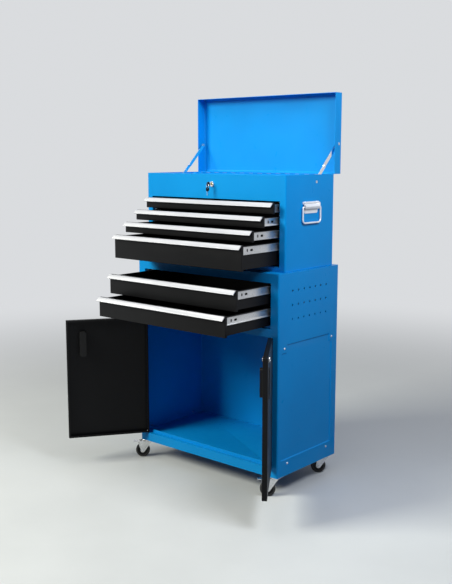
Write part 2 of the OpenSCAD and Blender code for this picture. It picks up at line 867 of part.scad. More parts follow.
module door_lock_body() {
    color(CHROME) swing_right() translate([lock_x, cf, lock_z]) difference() {
        union() {
            translate([0, -lock_ring[1] / 2, 0]) rod_y(lock_r + lock_ring[0], lock_ring[1]);
            translate([0, lock_deep / 2, 0]) rod_y(lock_r, lock_deep);
        }
        rod_y(door_plug_r + fit_gap, 4 * lock_deep);
    }
}

// plug with its cam, which lies level while the lock is open
module door_lock_plug() {
    y0 = -door_plug_out;
    color(CHROME) swing_right() translate([lock_x, cf, lock_z]) difference() {
        union() {
            translate([0, (y0 + door_cam_y) / 2, 0]) rod_y(door_plug_r, door_cam_y - y0);
            translate([0, door_cam_y, 0]) {
                rod_y(door_plug_r + 1, stay_t);
                box([0, -stay_t / 2, -door_cam_w / 2], [door_cam_l, stay_t / 2, door_cam_w / 2]);
            }
        }
        box([-keyway[0] / 2, y0 - 1, -keyway[1] / 2], [keyway[0] / 2, lock_deep / 2, keyway[1] / 2]);
    }
}

// ---------- top chest ----------

module chest_shell2d(lip) {
    both2d() {
        translate([xh, xf]) mirror([1, 0]) {
            fold2d(xh - dh, chest_d / 2, bend_r, sheet);
            if (lip) translate([xh - dh - sheet, 0]) square([sheet, post_lip]);
        }
        translate([xh, xr]) mirror([1, 0]) mirror([0, 1])
            fold2d(xh + eps, chest_d / 2, bend_r, sheet);
    }
}

module both2d() {
    children();
    mirror([1, 0]) children();
}

module chest_shell() {
    color(BLUE) {
        difference() {
            translate([0, 0, xz0]) linear_extrude(chest_h) chest_shell2d(false);
            // the back is cut down where the hinge runs
            box([-hinge_hw - 1, xr - 2 * sheet, xz1 - 2.6], [hinge_hw + 1, xr + 1, xz1 + 1]);
            both() {
                translate([xh, stay_chest[0], stay_chest[1]]) rod_x(rivet_r, clear);
                for (sy = [-1, 1])
                    for (dz = brk_rivet_z)
                        translate([xh, chest_mid_y + sy * brk_rivet_y, bail_z + dz])
                            rod_x(brk_rivet_r, clear);
            }
        }
        difference() {
            translate([0, 0, xz0 + sheet]) linear_extrude(chest_open_z1 - xz0) both2d()
                translate([dh, xf]) square([sheet, post_lip]);
            box([-xh, xf - 1, xz1 - fascia_h + sheet], [xh, xr, xz1]);
        }
    }
    // rear posts that carry the slides
    color(BLUE) both() translate([0, 0, xz0 + sheet]) linear_extrude(chest_open_z1 - xz0) {
        translate([dh, xr - sheet - rear_post_d]) square([sheet, rear_post_d]);
        translate([dh, xr - 2 * sheet]) square([xh - dh - rear_post_gap, sheet]);
    }
}

module chest_fascia() {
    z0 = chest_open_z1;
    color(BLUE) difference() {
        union() {
            box([-dh, xf, z0], [dh, xf + sheet, xz1]);
            box([-dh, xf, z0], [dh, xf + fascia_lip, z0 + sheet]);
            box([-dh, xf, xz1 - sheet], [dh, xf + fascia_lip, xz1]);
            both() box([tab_x[0], xf + fascia_lip - sheet, xz1 - sheet],
                       [tab_x[1], xf + fascia_lip, xz1 + tab_h]);
        }
        translate([0, xf, key_z]) rod_y(barrel_r, clear);
    }
}

module chest_till_floor() {
    z0 = chest_open_z1 + sheet;
    color(BLUE) {
        translate([0, 0, z0]) linear_extrude(sheet)
            plate2d(xh - sheet, xf + sheet, xr - sheet, bend_r);
    }
}

module chest_base() {
    color(BLUE) {
        translate([0, 0, xz0]) linear_extrude(sheet)
            plate2d(xh - sheet, xf + sheet - eps, xr - sheet, bend_r);
        box([-dh, xf, xz0], [dh, xf + sheet, xz0 + base_rail_h]);
        box([-dh, xf, xz0 + base_rail_h - sheet], [dh, xf + base_rail_lip, xz0 + base_rail_h]);
    }
}

// side handle bracket on the right
module bracket() {
    x0 = xh;
    zb = bail_z;
    translate([0, chest_mid_y, 0]) difference() {
        union() {
            box([x0, -brk_hw + 3, zb - 20], [x0 + brk_t, brk_hw - 3, zb - 5]);
            box([x0, -brk_hw, zb + 10], [x0 + brk_t, brk_hw, zb + 17]);
            // raised cover over the bail's bar
            translate([0, brk_hw, 0]) rotate([90, 0, 0]) linear_extrude(2 * brk_hw)
                polygon([[x0, zb - 8], [x0 + brk_t, zb - 8], [x0 + 9.2, zb - 5.5],
                         [x0 + 10.4, zb - 1], [x0 + 10.4, zb + 3], [x0 + 8, zb + 7.5],
                         [x0 + brk_t, zb + 11], [x0, zb + 11]]);
            // flared ears
            for (s = [-1, 1])
                translate([0, s * brk_hw, 0])
                    rotate([90, 0, 0]) translate([0, 0, s > 0 ? -brk_ear : 0]) linear_extrude(brk_ear)
                        polygon([[x0, zb + 6], [x0 + 6, zb + 6], [x0 + 3, zb + 14], [x0, zb + 16]]);
        }
        // hollow of the cover between its end walls
        translate([0, brk_hw - 2, 0]) rotate([90, 0, 0]) linear_extrude(2 * brk_hw - 4)
            polygon([[x0 - 1, zb - 4.5], [x0 + 8, zb - 4.2], [x0 + 8.9, zb - 0.8],
                     [x0 + 8.9, zb + 2.6], [x0 + 7, zb + 6], [x0 - 1, zb + 9]]);
        translate([bail_x, 0, zb]) rod_y(bail_r + fit_gap, 4 * brk_hw);
        for (sy = [-1, 1])
            for (dz = brk_rivet_z)
                translate([x0, sy * brk_rivet_y, zb + dz]) rod_x(brk_rivet_r, clear);
    }
}

module handle_brackets() {
    color(ZINC) both() bracket();
}

// closed wire bail: the top bar turns in the bracket's end walls
module bail() {
    zl = bail_z - bail_drop;
    translate([bail_x, chest_mid_y, 0]) union() {
        translate([0, 0, bail_z]) rod_y(bail_r, 2 * bail_hw);
        for (s = [-1, 1]) translate([0, s * bail_hw, 0]) {
            translate([0, 0, bail_z]) sphere(bail_r);
            translate([0, 0, zl + bail_bend]) rod(bail_r, bail_drop - bail_bend);
            translate([0, -s * bail_bend, zl + bail_bend]) rotate([0, -90, 0])
                rotate([0, 0, s > 0 ? 90 : 180])
                    rotate_extrude(angle = 90) translate([bail_bend, 0]) circle(bail_r);
        }
        translate([0, 0, zl]) rod_y(bail_r, 2 * (bail_hw - bail_bend));
    }
}

module handle_bail_right() { color(CHROME) bail(); }
module handle_bail_left() { color(CHROME) mirror([1, 0, 0]) bail(); }

module chest_lock_body() {
    color(CHROME) translate([0, xf, key_z]) difference() {
        union() {
            translate([0, -escutcheon_t / 2, 0]) rod_y(escutcheon_r, escutcheon_t);
            translate([0, barrel_l / 2, 0]) rod_y(barrel_r, barrel_l);
            // nut behind the sheet
            translate([0, sheet + lock_nut[1] / 2, 0]) rotate([90, 0, 0])
                cylinder(r = lock_nut[0], h = lock_nut[1], center = true, $fn = 6);
        }
        rod_y(plug_r + fit_gap, 4 * barrel_l);
    }
}

module chest_lock_plug() {
    y0 = -escutcheon_t - plug_out;
    color(CHROME) translate([0, xf, key_z]) difference() {
        union() {
            translate([0, (y0 + cam_y) / 2, 0]) rod_y(plug_r, cam_y - y0);
            translate([0, cam_y, 0]) {
                rod_y(barrel_r, cam_t);
                box([0, -cam_t / 2, -cam_w / 2], [cam_l, cam_t / 2, cam_w / 2]);
            }
        }
        box([-key_slot / 2, y0 - 1, -key_slot_h / 2], [key_slot / 2, barrel_l / 4, key_slot_h / 2]);
    }
}

// bow centred on the origin in the y-z plane, blade along +y
module key() {
    rotate([0, 90, 0]) difference() {
        union() {
            cylinder(r = bow_r, h = bow_t, center = true);
            box([-key_slot_h / 2, 0, -key_slot / 2], [key_slot_h / 2, key_l, key_slot / 2]);
        }
        translate([0, -bow_hole_off, 0]) cylinder(r = bow_hole_r, h = 2 * bow_t, center = true);
    }
}

// two keys on a ring: one stands in the lock, the other hangs from it
module lock_keys() {
    sag = bow_hole_r - key_wire_r + 0.1;
    ring_z = -sag - key_ring_r;
    hung_z = ring_z - key_ring_r - sag;
    color(BLACK) translate([0, xf, key_z]) union() {
        translate([0, -key_stand, 0]) key();
        translate([0, -key_stand - bow_hole_off, hung_z - bow_hole_off]) rotate([-90, 0, 0]) key();
        translate([0, -key_stand - bow_hole_off, ring_z]) rotate([90, 0, 0])
            rotate_extrude() translate([key_ring_r, 0]) circle(key_wire_r, $fn = 16);
    }
}

// ---------- hinge ----------

// every second knuckle, each tied to its leaf by a web that stands y_web outside the hinge axis
module knuckles(first, y_web, up) {
    for (k = [first : 2 : hinge_n - 1])
        translate([-hinge_hw + (k + 0.5) * knuckle_l, hinge_y, hinge_z]) {
            rod_x(knuckle_r, knuckle_l - 0.6);
            mirror([0, 0, up ? 0 : 1])
                box([-knuckle_l / 2 + 0.3, y_web, 0], [knuckle_l / 2 - 0.3, y_web + sheet, leaf_gap]);
        }
}

module chest_hinge() {
    color(BLUE) {
        difference() {
            union() {
                box([-hinge_hw, xr, hinge_z - leaf_l], [hinge_hw, xr + sheet, hinge_z - leaf_gap]);
                knuckles(0, 0, false);
            }
            translate([0, hinge_y, hinge_z]) rod_x(hinge_pin_r, 2 * hinge_hw + 2);
        }
        translate([0, hinge_y, hinge_z]) rod_x(hinge_pin_r, 2 * hinge_hw);
    }
}

// stay rivet through a wall on the right: outer head, shank, collar up to the arm, inner head
module stay_rivet(x_wall_out, x_wall_in, x_arm_out, y, z) {
    x_in = x_arm_out - stay_t - head_gap - head_t;
    box_rod(head_r, x_wall_out, x_wall_out + head_t, y, z);
    box_rod(rivet_r, x_in, x_wall_out, y, z);
    box_rod(head_r, x_arm_out + head_gap, x_wall_in, y, z);
    box_rod(head_r, x_in, x_in + head_t, y, z);
}

// rod along x from x0 to x1
module box_rod(r, x0, x1, y, z) {
    translate([(x0 + x1) / 2, y, z]) rod_x(r, x1 - x0);
}

module chest_rivets() {
    color(ZINC) both()
        stay_rivet(xh, xh - sheet, stay_lower_x, stay_chest[0], stay_chest[1]);
}

// hinge leaf and stay rivets of the lid, drawn with the lid shut and swung open
module lid_fittings() {
    color(BLUE) lid_open() {
        difference() {
            union() {
                box([-hinge_hw, xr + lid_rear_over, hinge_z + leaf_gap],
                    [hinge_hw, xr + lid_rear_over + sheet, hinge_z + leaf_l]);
                knuckles(1, lid_rear_over, true);
            }
            translate([0, hinge_y, hinge_z]) rod_x(hinge_pin_r + fit_gap, 2 * hinge_hw + 2);
        }
        both() stay_rivet(xh + lid_over, xh + lid_over - sheet, stay_upper_x,
                          lid_rivet_closed[0], lid_rivet_closed[1]);
    }
}

module lid_open() {
    translate([0, hinge_y, hinge_z]) rotate([-90, 0, 0]) translate([0, -hinge_y, -hinge_z])
        children();
}

// ---------- lid ----------

// closed lid's outer form, grown inwards by g
module lid_form(g) {
    x1 = xh + lid_over - g;
    y0 = xf - lid_front_over + g;
    y1 = xr + lid_rear_over - g;
    z0 = xz1 + lid_gap - (g > 0 ? 1 : 0);
    z1 = xz1 + lid_gap + lid_h - g;
    r = lid_r - g;
    intersection() {
        translate([-x1, 0, 0]) rotate([90, 0, 90]) linear_extrude(2 * x1) {
            translate([y0, z0]) square([y1 - y0, z1 - z0 - r]);
            translate([y0 + r, z0]) square([y1 - y0 - 2 * r, z1 - z0]);
            translate([y0 + r, z1 - r]) circle(r);
            translate([y1 - r, z1 - r]) circle(r);
        }
        translate([0, y1, 0]) rotate([90, 0, 0]) linear_extrude(y1 - y0) {
            translate([-x1, z0]) square([2 * x1, z1 - z0 - r]);
            translate([-x1 + r, z0]) square([2 * x1 - 2 * r, z1 - z0]);
            translate([-x1 + r, z1 - r]) circle(r);
            translate([x1 - r, z1 - r]) circle(r);
        }
    }
}

module lid_shell() {
    color(BLUE) lid_open() difference() {
        lid_form(0);
        lid_form(sheet);
        box([-hinge_hw - 1, xr - 2 * sheet, xz1],
            [hinge_hw + 1, xr + 2, hinge_z + knuckle_r + 0.6]);
        both() translate([xh, lid_rivet_closed[0], lid_rivet_closed[1]]) rod_x(rivet_r, clear);
    }
}

module arm(x_out, a, b) {
    // flat arm with round ends between two points (y, z), outer face at x_out
    v = b - a;
    l = norm(v);
    ang = atan2(v[1], v[0]);
    translate([x_out, a[0], a[1]]) rotate([ang, 0, 0]) difference() {
        union() {
            box([-stay_t, 0, -stay_w / 2], [0, l, stay_w / 2]);
            translate([-stay_t / 2, 0, 0]) rod_x(stay_w / 2, stay_t);
            translate([-stay_t / 2, l, 0]) rod_x(stay_w / 2, stay_t);
        }
        children();
    }
}

module stay_arms_chest() {
    color(ZINC) both() {
        arm(stay_lower_x, stay_chest, stay_knee) rod_x(rivet_r + fit_gap, clear);
        // rivet head of the knee, outside
        box_rod(head_r, stay_lower_x, stay_lower_x + knee_head_t, stay_knee[0], stay_knee[1]);
    }
}

module stay_arms_lid() {
    color(ZINC) both() {
        arm(stay_upper_x, stay_lid, stay_knee) rod_x(rivet_r + fit_gap, clear);
        box_rod(head_r, stay_upper_x - stay_t - head_t, stay_upper_x - stay_t,
                stay_knee[0], stay_knee[1]);
    }
}

cab_side_left();
cab_side_right();
cab_back();
cab_top();
cab_divider();
cab_base();
cab_slides();
cab_fasteners();
caster_plates();
caster_fork_fl();
caster_fork_fr();
caster_fork_rl();
caster_fork_rr();
caster_wheel_fl();
caster_wheel_fr();
caster_wheel_rl();
caster_wheel_rr();
brake_lever_fl();
brake_lever_fr();
door_left();
door_right();
door_handle_left();
door_handle_right();
door_lock_body();
door_lock_plug();
drawer_tray_1();
drawer_tray_2();
drawer_tray_3();
drawer_tray_4();
drawer_tray_5();
drawer_tray_6();
drawer_pull_1();
drawer_pull_2();
drawer_pull_3();
drawer_pull_4();
drawer_pull_5();
drawer_pull_6();
drawer_runners_1();
drawer_runners_2();
drawer_runners_3();
drawer_runners_4();
drawer_runners_5();
drawer_runners_6();
chest_shell();
chest_fascia();
chest_till_floor();
chest_base();
chest_slides();
handle_brackets();
handle_bail_left();
handle_bail_right();
chest_lock_body();
chest_lock_plug();
lock_keys();
chest_hinge();
chest_rivets();
lid_shell();
lid_fittings();
stay_arms_lid();
stay_arms_chest();
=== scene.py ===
"""Rolling tool chest and cabinet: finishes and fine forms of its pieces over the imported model.

Sizes are in millimetres and angles in degrees, and each piece is made metres as it is finished.
X is the width, -Y the front and +Z up, with the origin on the floor under the cabinet.
"""

import json
from math import atan2, cos, pi, radians, sin, tan

import bmesh
import bpy
from mathutils import Matrix, Vector


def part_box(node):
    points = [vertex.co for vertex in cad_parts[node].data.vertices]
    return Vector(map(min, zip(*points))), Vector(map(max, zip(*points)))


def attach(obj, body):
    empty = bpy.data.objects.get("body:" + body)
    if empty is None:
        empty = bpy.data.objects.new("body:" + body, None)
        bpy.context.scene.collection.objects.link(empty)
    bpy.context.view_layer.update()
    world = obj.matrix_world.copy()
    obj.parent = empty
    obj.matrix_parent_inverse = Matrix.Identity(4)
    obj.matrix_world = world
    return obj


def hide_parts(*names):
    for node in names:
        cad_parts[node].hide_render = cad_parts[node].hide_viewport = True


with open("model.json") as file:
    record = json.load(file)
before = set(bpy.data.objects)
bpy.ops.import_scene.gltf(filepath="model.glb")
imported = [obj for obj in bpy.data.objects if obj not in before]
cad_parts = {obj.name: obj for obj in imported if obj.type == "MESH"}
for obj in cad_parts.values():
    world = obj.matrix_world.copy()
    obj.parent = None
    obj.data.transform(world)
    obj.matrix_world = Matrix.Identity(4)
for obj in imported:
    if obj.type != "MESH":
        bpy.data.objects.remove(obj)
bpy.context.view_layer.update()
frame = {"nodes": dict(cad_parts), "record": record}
scene = bpy.context.scene

# ---------- sizes shared by several pieces ----------

SHEET = 1.0             # folded steel
DOOR_ANGLE = 125.0      # both doors stand open this far
PIN = Vector((279.5, -159.2, 0.0))      # right door's hinge pin
CASTER_AT = (286.0, 140.5)              # swivel axes
CASTER_HEADING = 221.0
CASTER_TRAIL = 26.0
WHEEL_R = 25.0
CHEST_FRONT = -121.5
CHEST_HALF = 300.0
CABINET_FRONT = -162.5
CABINET_HALF = 308.0
TRAY_HALF = 264.0       # half width of a drawer's box
OUT_OF_REACH = 99.0     # puts a face of a box beyond the piece, so that its edges stay sharp
ON_FACE = 0.02          # a point this near to a face lies on it
NEAR = 0.05             # a vertex this near to a place belongs to it

BODY_OF = {member: body
           for body, members in frame["record"]["behaviour"]["bodies"].items()
           for member in members}


def in_scene(name, data):
    """New object, linked to the scene."""
    made = bpy.data.objects.new(name, data)
    scene.collection.objects.link(made)
    return made


def span(node):
    """Lowest and highest corner of a CAD node, in millimetres."""
    low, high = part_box(node)
    return low * 1000, high * 1000


# ---------- finishes ----------

def add(tree, kind, inputs=None, **settings):
    """Node of one kind. An input is given as a value or as another node's output."""
    made = tree.nodes.new(kind)
    for key, value in settings.items():
        setattr(made, key, value)
    wire(tree, made, inputs or {})
    return made


def wire(tree, made, inputs):
    """Gives a node its inputs."""
    for key, value in inputs.items():
        if isinstance(value, bpy.types.NodeSocket):
            tree.links.new(value, made.inputs[key])
        else:
            made.inputs[key].default_value = value


def new_finish(name):
    """Empty finish: its material, node tree, shader and the piece's own coordinates."""
    material = bpy.data.materials.new(name)
    material.use_nodes = True
    tree = material.node_tree
    place = add(tree, "ShaderNodeTexCoord").outputs["Object"]
    return material, tree, tree.nodes["Principled BSDF"], place


def stretched(tree, place, x, y, z):
    """Coordinates with their own scale along each axis."""
    return add(tree, "ShaderNodeMapping", {"Vector": place, "Scale": (x, y, z)}).outputs["Vector"]


def cloud(tree, place, scale, detail, rough=0.5):
    """Soft noise between 0 and 1."""
    made = add(tree, "ShaderNodeTexNoise", {"Vector": place, "Scale": scale, "Detail": detail,
                                            "Roughness": rough})
    return made.outputs["Fac"]


def between(tree, fac, low, high, from_low=0.3, from_high=0.7):
    """A number that follows fac from low to high."""
    made = add(tree, "ShaderNodeMapRange", {"Value": fac, "From Min": from_low,
                                            "From Max": from_high, "To Min": low, "To Max": high})
    return made.outputs["Result"]


def tint(tree, fac, first, second):
    """Colour that goes from first to second as fac goes from 0 to 1."""
    made = add(tree, "ShaderNodeMix", data_type="RGBA")
    tree.links.new(fac, made.inputs[0])
    made.inputs[6].default_value = (*first, 1.0)
    made.inputs[7].default_value = (*second, 1.0)
    return made.outputs[2]


def mottle(tree, noise, first, second):
    """Colour that follows a noise from first to second."""
    return tint(tree, between(tree, noise, 0.0, 1.0), first, second)


def relief(tree, height, strength, depth, under=None):
    """Bump of a depth in millimetres, over another bump if one is given."""
    made = add(tree, "ShaderNodeBump", {"Height": height, "Strength": strength,
                                        "Distance": depth / 1000})
    if under is not None:
        tree.links.new(under, made.inputs["Normal"])
    return made.outputs["Normal"]


def azure_enamel():
    """Glossy baked enamel: a slow change of tone, orange peel and faint handling haze."""
    material, tree, shader, place = new_finish("azure_baked_enamel")
    slow = cloud(tree, place, 5.0, 2.0)
    haze = cloud(tree, stretched(tree, place, 14, 14, 9), 3.0, 5.0, 0.6)
    peel = cloud(tree, place, 520.0, 1.0)
    wave = cloud(tree, place, 38.0, 1.0)
    tone = mottle(tree, slow, (0.0020, 0.262, 0.680), (0.0030, 0.290, 0.730))
    bump = relief(tree, peel, 0.10, 0.05, relief(tree, wave, 0.06, 0.35))
    wire(tree, shader, {"Base Color": tone, "Roughness": between(tree, haze, 0.27, 0.36),
                        "Specular IOR Level": 0.13, "Normal": bump})
    return material


def black_powder_coat():
    """Satin black powder coat with a fine even grain."""
    material, tree, shader, place = new_finish("satin_black_powder_coat")
    slow = cloud(tree, place, 7.0, 3.0)
    grain = cloud(tree, place, 1500.0, 2.0)
    wave = cloud(tree, place, 60.0, 1.0)
    tone = mottle(tree, slow, (0.0042, 0.0042, 0.0049), (0.0064, 0.0064, 0.0073))
    bump = relief(tree, grain, 0.30, 0.03, relief(tree, wave, 0.05, 0.3))
    wire(tree, shader, {"Base Color": tone, "Roughness": between(tree, slow, 0.36, 0.46),
                        "Specular IOR Level": 0.13, "Normal": bump})
    return material


def brushed_aluminium():
    """Pale anodised aluminium, brushed along the strip."""
    material, tree, shader, place = new_finish("pale_anodised_aluminium")
    lines = cloud(tree, stretched(tree, place, 3, 1400, 1400), 1.0, 3.0)
    slow = cloud(tree, place, 9.0, 2.0)
    tone = mottle(tree, lines, (0.56, 0.562, 0.60), (0.63, 0.63, 0.67))
    wire(tree, shader, {"Base Color": tone, "Metallic": 0.45,
                        "Roughness": between(tree, slow, 0.30, 0.40), "Anisotropic": 0.4,
                        "Normal": relief(tree, lines, 0.12, 0.03)})
    return material


def zinc_plate():
    """Bright zinc plating on rolled steel: small crystals and rolling lines."""
    material, tree, shader, place = new_finish("bright_zinc_plate")
    crystals = add(tree, "ShaderNodeTexVoronoi",
                   {"Vector": place, "Scale": 260.0}).outputs["Distance"]
    lines = cloud(tree, stretched(tree, place, 500, 12, 500), 1.0, 2.0)
    slow = cloud(tree, place, 16.0, 3.0)
    tone = mottle(tree, slow, (0.56, 0.57, 0.585), (0.68, 0.685, 0.69))
    bump = relief(tree, lines, 0.08, 0.03, relief(tree, crystals, 0.03, 0.03))
    wire(tree, shader, {"Base Color": tone, "Metallic": 0.92,
                        "Roughness": between(tree, crystals, 0.26, 0.33, 0.1, 0.6), "Normal": bump})
    return material


def pressed_zinc():
    """Bright zinc of pressed fittings: almost a mirror, its waves and streaks breaking it up; the
    dark and light bands in its colour are partly the zinc's own streaks and partly a painted
    reflection of a dark floor.
    """
    material, tree, shader, place = new_finish("bright_pressed_zinc")
    waves = cloud(tree, place, 150.0, 2.0)
    streaks_and_reflection = cloud(tree, stretched(tree, place, 90, 90, 620), 1.6, 4.0, 0.6)
    # painted reflection: the streak noise darkens and lightens the base colour in bands, standing
    # in for a dark floor mirrored in the zinc as well as its own streaks
    tone = mottle(tree, streaks_and_reflection, (0.46, 0.47, 0.48), (0.76, 0.765, 0.77))
    bump = relief(tree, waves, 0.5, 0.35, relief(tree, streaks_and_reflection, 0.10, 0.05))
    wire(tree, shader, {"Base Color": tone, "Metallic": 1.0,
                        "Roughness": between(tree, streaks_and_reflection, 0.13, 0.27), "Normal": bump})
    return material


def bright_chrome():
    """Chrome plate with a few smudges."""
    material, tree, shader, place = new_finish("bright_chrome_plate")
    smudge = cloud(tree, place, 45.0, 4.0, 0.6)
    tone = mottle(tree, smudge, (0.82, 0.83, 0.85), (0.88, 0.885, 0.90))
    wire(tree, shader, {"Base Color": tone, "Metallic": 1.0,
                        "Roughness": between(tree, smudge, 0.08, 0.17),
                        "Normal": relief(tree, smudge, 0.03, 0.05)})
    return material


def pale_zinc():
    """Pale lacquered zinc of the carrying handles."""
    material, tree, shader, place = new_finish("pale_lacquered_zinc")
    slow = cloud(tree, place, 26.0, 3.0)
    grain = cloud(tree, place, 900.0, 2.0)
    tone = mottle(tree, slow, (0.80, 0.81, 0.85), (0.90, 0.905, 0.94))
    wire(tree, shader, {"Base Color": tone, "Metallic": 0.35,
                        "Roughness": between(tree, slow, 0.30, 0.40),
                        "Normal": relief(tree, grain, 0.10, 0.02)})
    return material


def aged_brass():
    """Brass that has turned olive."""
    material, tree, shader, place = new_finish("olive_brass")
    slow = cloud(tree, place, 300.0, 3.0)
    tone = mottle(tree, slow, (0.33, 0.29, 0.12), (0.46, 0.40, 0.19))
    wire(tree, shader, {"Base Color": tone, "Metallic": 0.9,
                        "Roughness": between(tree, slow, 0.28, 0.42),
                        "Normal": relief(tree, slow, 0.08, 0.03)})
    return material


def moulded_plastic():
    """Black moulded plastic with a fine spark-eroded grain."""
    material, tree, shader, place = new_finish("black_moulded_plastic")
    grain = cloud(tree, place, 1300.0, 3.0)
    slow = cloud(tree, place, 20.0, 2.0)
    tone = mottle(tree, slow, (0.0050, 0.0050, 0.0055), (0.0085, 0.0085, 0.0090))
    wire(tree, shader, {"Base Color": tone, "Roughness": between(tree, slow, 0.42, 0.52),
                        "Specular IOR Level": 0.22, "Normal": relief(tree, grain, 0.30, 0.05)})
    return material


def tread_rubber():
    """Dark rubber of the wheel treads, dulled by fine scuffs round the wheel."""
    material, tree, shader, place = new_finish("dark_tread_rubber")
    scuffs = cloud(tree, place, 420.0, 4.0, 0.65)
    slow = cloud(tree, place, 60.0, 2.0)
    tone = mottle(tree, slow, (0.0075, 0.0075, 0.008), (0.017, 0.0165, 0.016))
    wire(tree, shader, {"Base Color": tone, "Roughness": between(tree, scuffs, 0.58, 0.78),
                        "Normal": relief(tree, scuffs, 0.25, 0.08)})
    return material


# finish's short name: its material and the record's slot
FINISHES = {
    "azure": (azure_enamel(), "blue_steel"),
    "black": (black_powder_coat(), "black_steel"),
    "pull": (brushed_aluminium(), "pull_aluminium"),
    "zinc": (zinc_plate(), "zinc_steel"),
    "bright": (pressed_zinc(), "zinc_steel"),
    "pale": (pale_zinc(), "zinc_steel"),
    "chrome": (bright_chrome(), "chrome"),
    "brass": (aged_brass(), "chrome"),
    "plastic": (moulded_plastic(), "black_plastic"),
    "bow": (moulded_plastic(), "key_plastic"),
    "rubber": (tread_rubber(), "wheel_rubber"),
}


# ---------- forms: meshes in the making, in millimetres ----------

# a section's point (u, v) at the distance w along each axis
PLACE = {"x": lambda u, v, w: (w, u, v),
         "y": lambda u, v, w: (u, w, v),
         "z": lambda u, v, w: (u, v, w)}
MIRROR_X = Matrix.Scale(-1, 4, (1, 0, 0))
MIRROR_Y = Matrix.Scale(-1, 4, (0, 1, 0))
CORNER_STEPS = 5        # straight pieces of a rounded corner


def cad(node):
    """Merged copy of a CAD node, its flat faces whole."""
    form = bmesh.new()
    form.from_mesh(frame["nodes"][node].data)
    bmesh.ops.scale(form, vec=(1000, 1000, 1000), verts=form.verts)
    bmesh.ops.remove_doubles(form, verts=form.verts, dist=0.005)
    bmesh.ops.dissolve_limit(form, angle_limit=radians(0.3), verts=form.verts, edges=form.edges)
    return form


def joined(*forms):
    """All the forms as one. They are used up."""
    whole = bmesh.new()
    for form in forms:
        mesh = bpy.data.meshes.new("part")
        form.to_mesh(mesh)
        form.free()
        whole.from_mesh(mesh)
        bpy.data.meshes.remove(mesh)
    return whole


def placed(form, matrix):
    """The form moved by a matrix, and turned right side out again after a mirror."""
    bmesh.ops.transform(form, matrix=matrix, verts=form.verts)
    if matrix.determinant() < 0:
        bmesh.ops.reverse_faces(form, faces=form.faces)
    return form


def moved(form, x, y, z=0.0):
    return placed(form, Matrix.Translation((x, y, z)))


def turned(form, angle, axis):
    return placed(form, Matrix.Rotation(radians(angle), 4, axis))


def swung(form, pin, angle, axis):
    """Turns a form about a pin that runs along an axis."""
    return placed(form, Matrix.Translation(pin) @ Matrix.Rotation(radians(angle), 4, axis)
                  @ Matrix.Translation(-pin))


def mirror_pair(form):
    """The form and its mirror image on the other side of the middle as one."""
    return joined(form, placed(form.copy(), MIRROR_X))


def turned_over(form):
    """Mirror copy from front to rear."""
    return placed(form.copy(), MIRROR_Y)


def around(count):
    """Cosine and sine of evenly spaced angles, all the way round."""
    return [(cos(2 * pi * k / count), sin(2 * pi * k / count)) for k in range(count)]


def skin(form, rings, loop):
    """Faces between rings of equal count. A loop joins the last ring to the first."""
    pairs = list(zip(rings, rings[1:]))
    if loop:
        pairs.append((rings[-1], rings[0]))
    count = len(rings[0])
    for low, high in pairs:
        for i in range(count):
            j = (i + 1) % count
            form.faces.new((low[i], low[j], high[j], high[i]))


def loft(rings, loop=False):
    """Form over rings of points, capped at both ends if it isn't a loop."""
    form = bmesh.new()
    made = [[form.verts.new(point) for point in ring] for ring in rings]
    skin(form, made, loop)
    if not loop:
        form.faces.new(list(reversed(made[0])))
        form.faces.new(made[-1])
    bmesh.ops.recalc_face_normals(form, faces=form.faces)
    return form


def prism(outline, axis, start, end):
    """Closed outline carried along an axis from start to end."""
    place = PLACE[axis]
    return loft([[place(u, v, w) for u, v in outline] for w in (start, end)])


def slab(low, high):
    """Block from its lowest to its highest corner."""
    outline = [(low[0], low[1]), (high[0], low[1]), (high[0], high[1]), (low[0], high[1])]
    return prism(outline, "z", low[2], high[2])


def lathe(profile, sides, closed=False):
    """Profile of (radius, height) points turned about the z axis."""
    form = bmesh.new()
    rings = [[form.verts.new((radius * c, radius * s, height)) for c, s in around(sides)]
             for radius, height in profile]
    skin(form, rings, closed)
    bmesh.ops.remove_doubles(form, verts=form.verts, dist=0.001)
    bmesh.ops.recalc_face_normals(form, faces=form.faces)
    return form


def one_each(radii, count):
    """A radius for each corner, from a list or from one radius for all."""
    return radii if hasattr(radii, "__len__") else [radii] * count


def bent(points, radii):
    """Open line whose corners are bent to a radius, or to one each."""
    line = [Vector(points[0])]
    corners = zip(points, points[1:], points[2:], one_each(radii, len(points) - 2))
    for before, corner, after, radius in corners:
        line += arc_at(Vector(before), Vector(corner), Vector(after), radius, CORNER_STEPS)
    line.append(Vector(points[-1]))
    return line


def rounded(points, radii, steps=CORNER_STEPS):
    """Closed outline whose corners are rounded to a radius, or to one each."""
    count = len(points)
    line = []
    for i, radius in enumerate(one_each(radii, count)):
        line += arc_at(Vector(points[i - 1]), Vector(points[i]), Vector(points[(i + 1) % count]),
                       radius, steps)
    return line


def arc_at(before, corner, after, radius, steps):
    """Points of the arc that rounds the corner between two neighbours."""
    to_before = (before - corner).normalized()
    to_after = (after - corner).normalized()
    opening = to_before.angle(to_after)
    reach = radius / tan(opening / 2)
    centre = corner + (to_before + to_after).normalized() * radius / sin(opening / 2)
    first = corner + to_before * reach - centre
    last = corner + to_after * reach - centre
    start = atan2(first.y, first.x)
    sweep = (atan2(last.y, last.x) - start + pi) % (2 * pi) - pi
    return [centre + radius * Vector((cos(start + sweep * k / steps),
                                      sin(start + sweep * k / steps)))
            for k in range(steps + 1)]


def sheet_outline(points, radii, thick):
    """Closed outline of a folded sheet whose middle runs along the points."""
    line = bent(points, radii)
    left, right = [], []
    for i, point in enumerate(line):
        ahead = line[min(i + 1, len(line) - 1)] - line[max(i - 1, 0)]
        side = Vector((-ahead.y, ahead.x)).normalized() * thick / 2
        left.append(point + side)
        right.append(point - side)
    return left + right[::-1]


def fold(points, radii, axis, start, end, thick):
    """Folded sheet carried along an axis."""
    return prism(sheet_outline(points, radii, thick), axis, start, end)


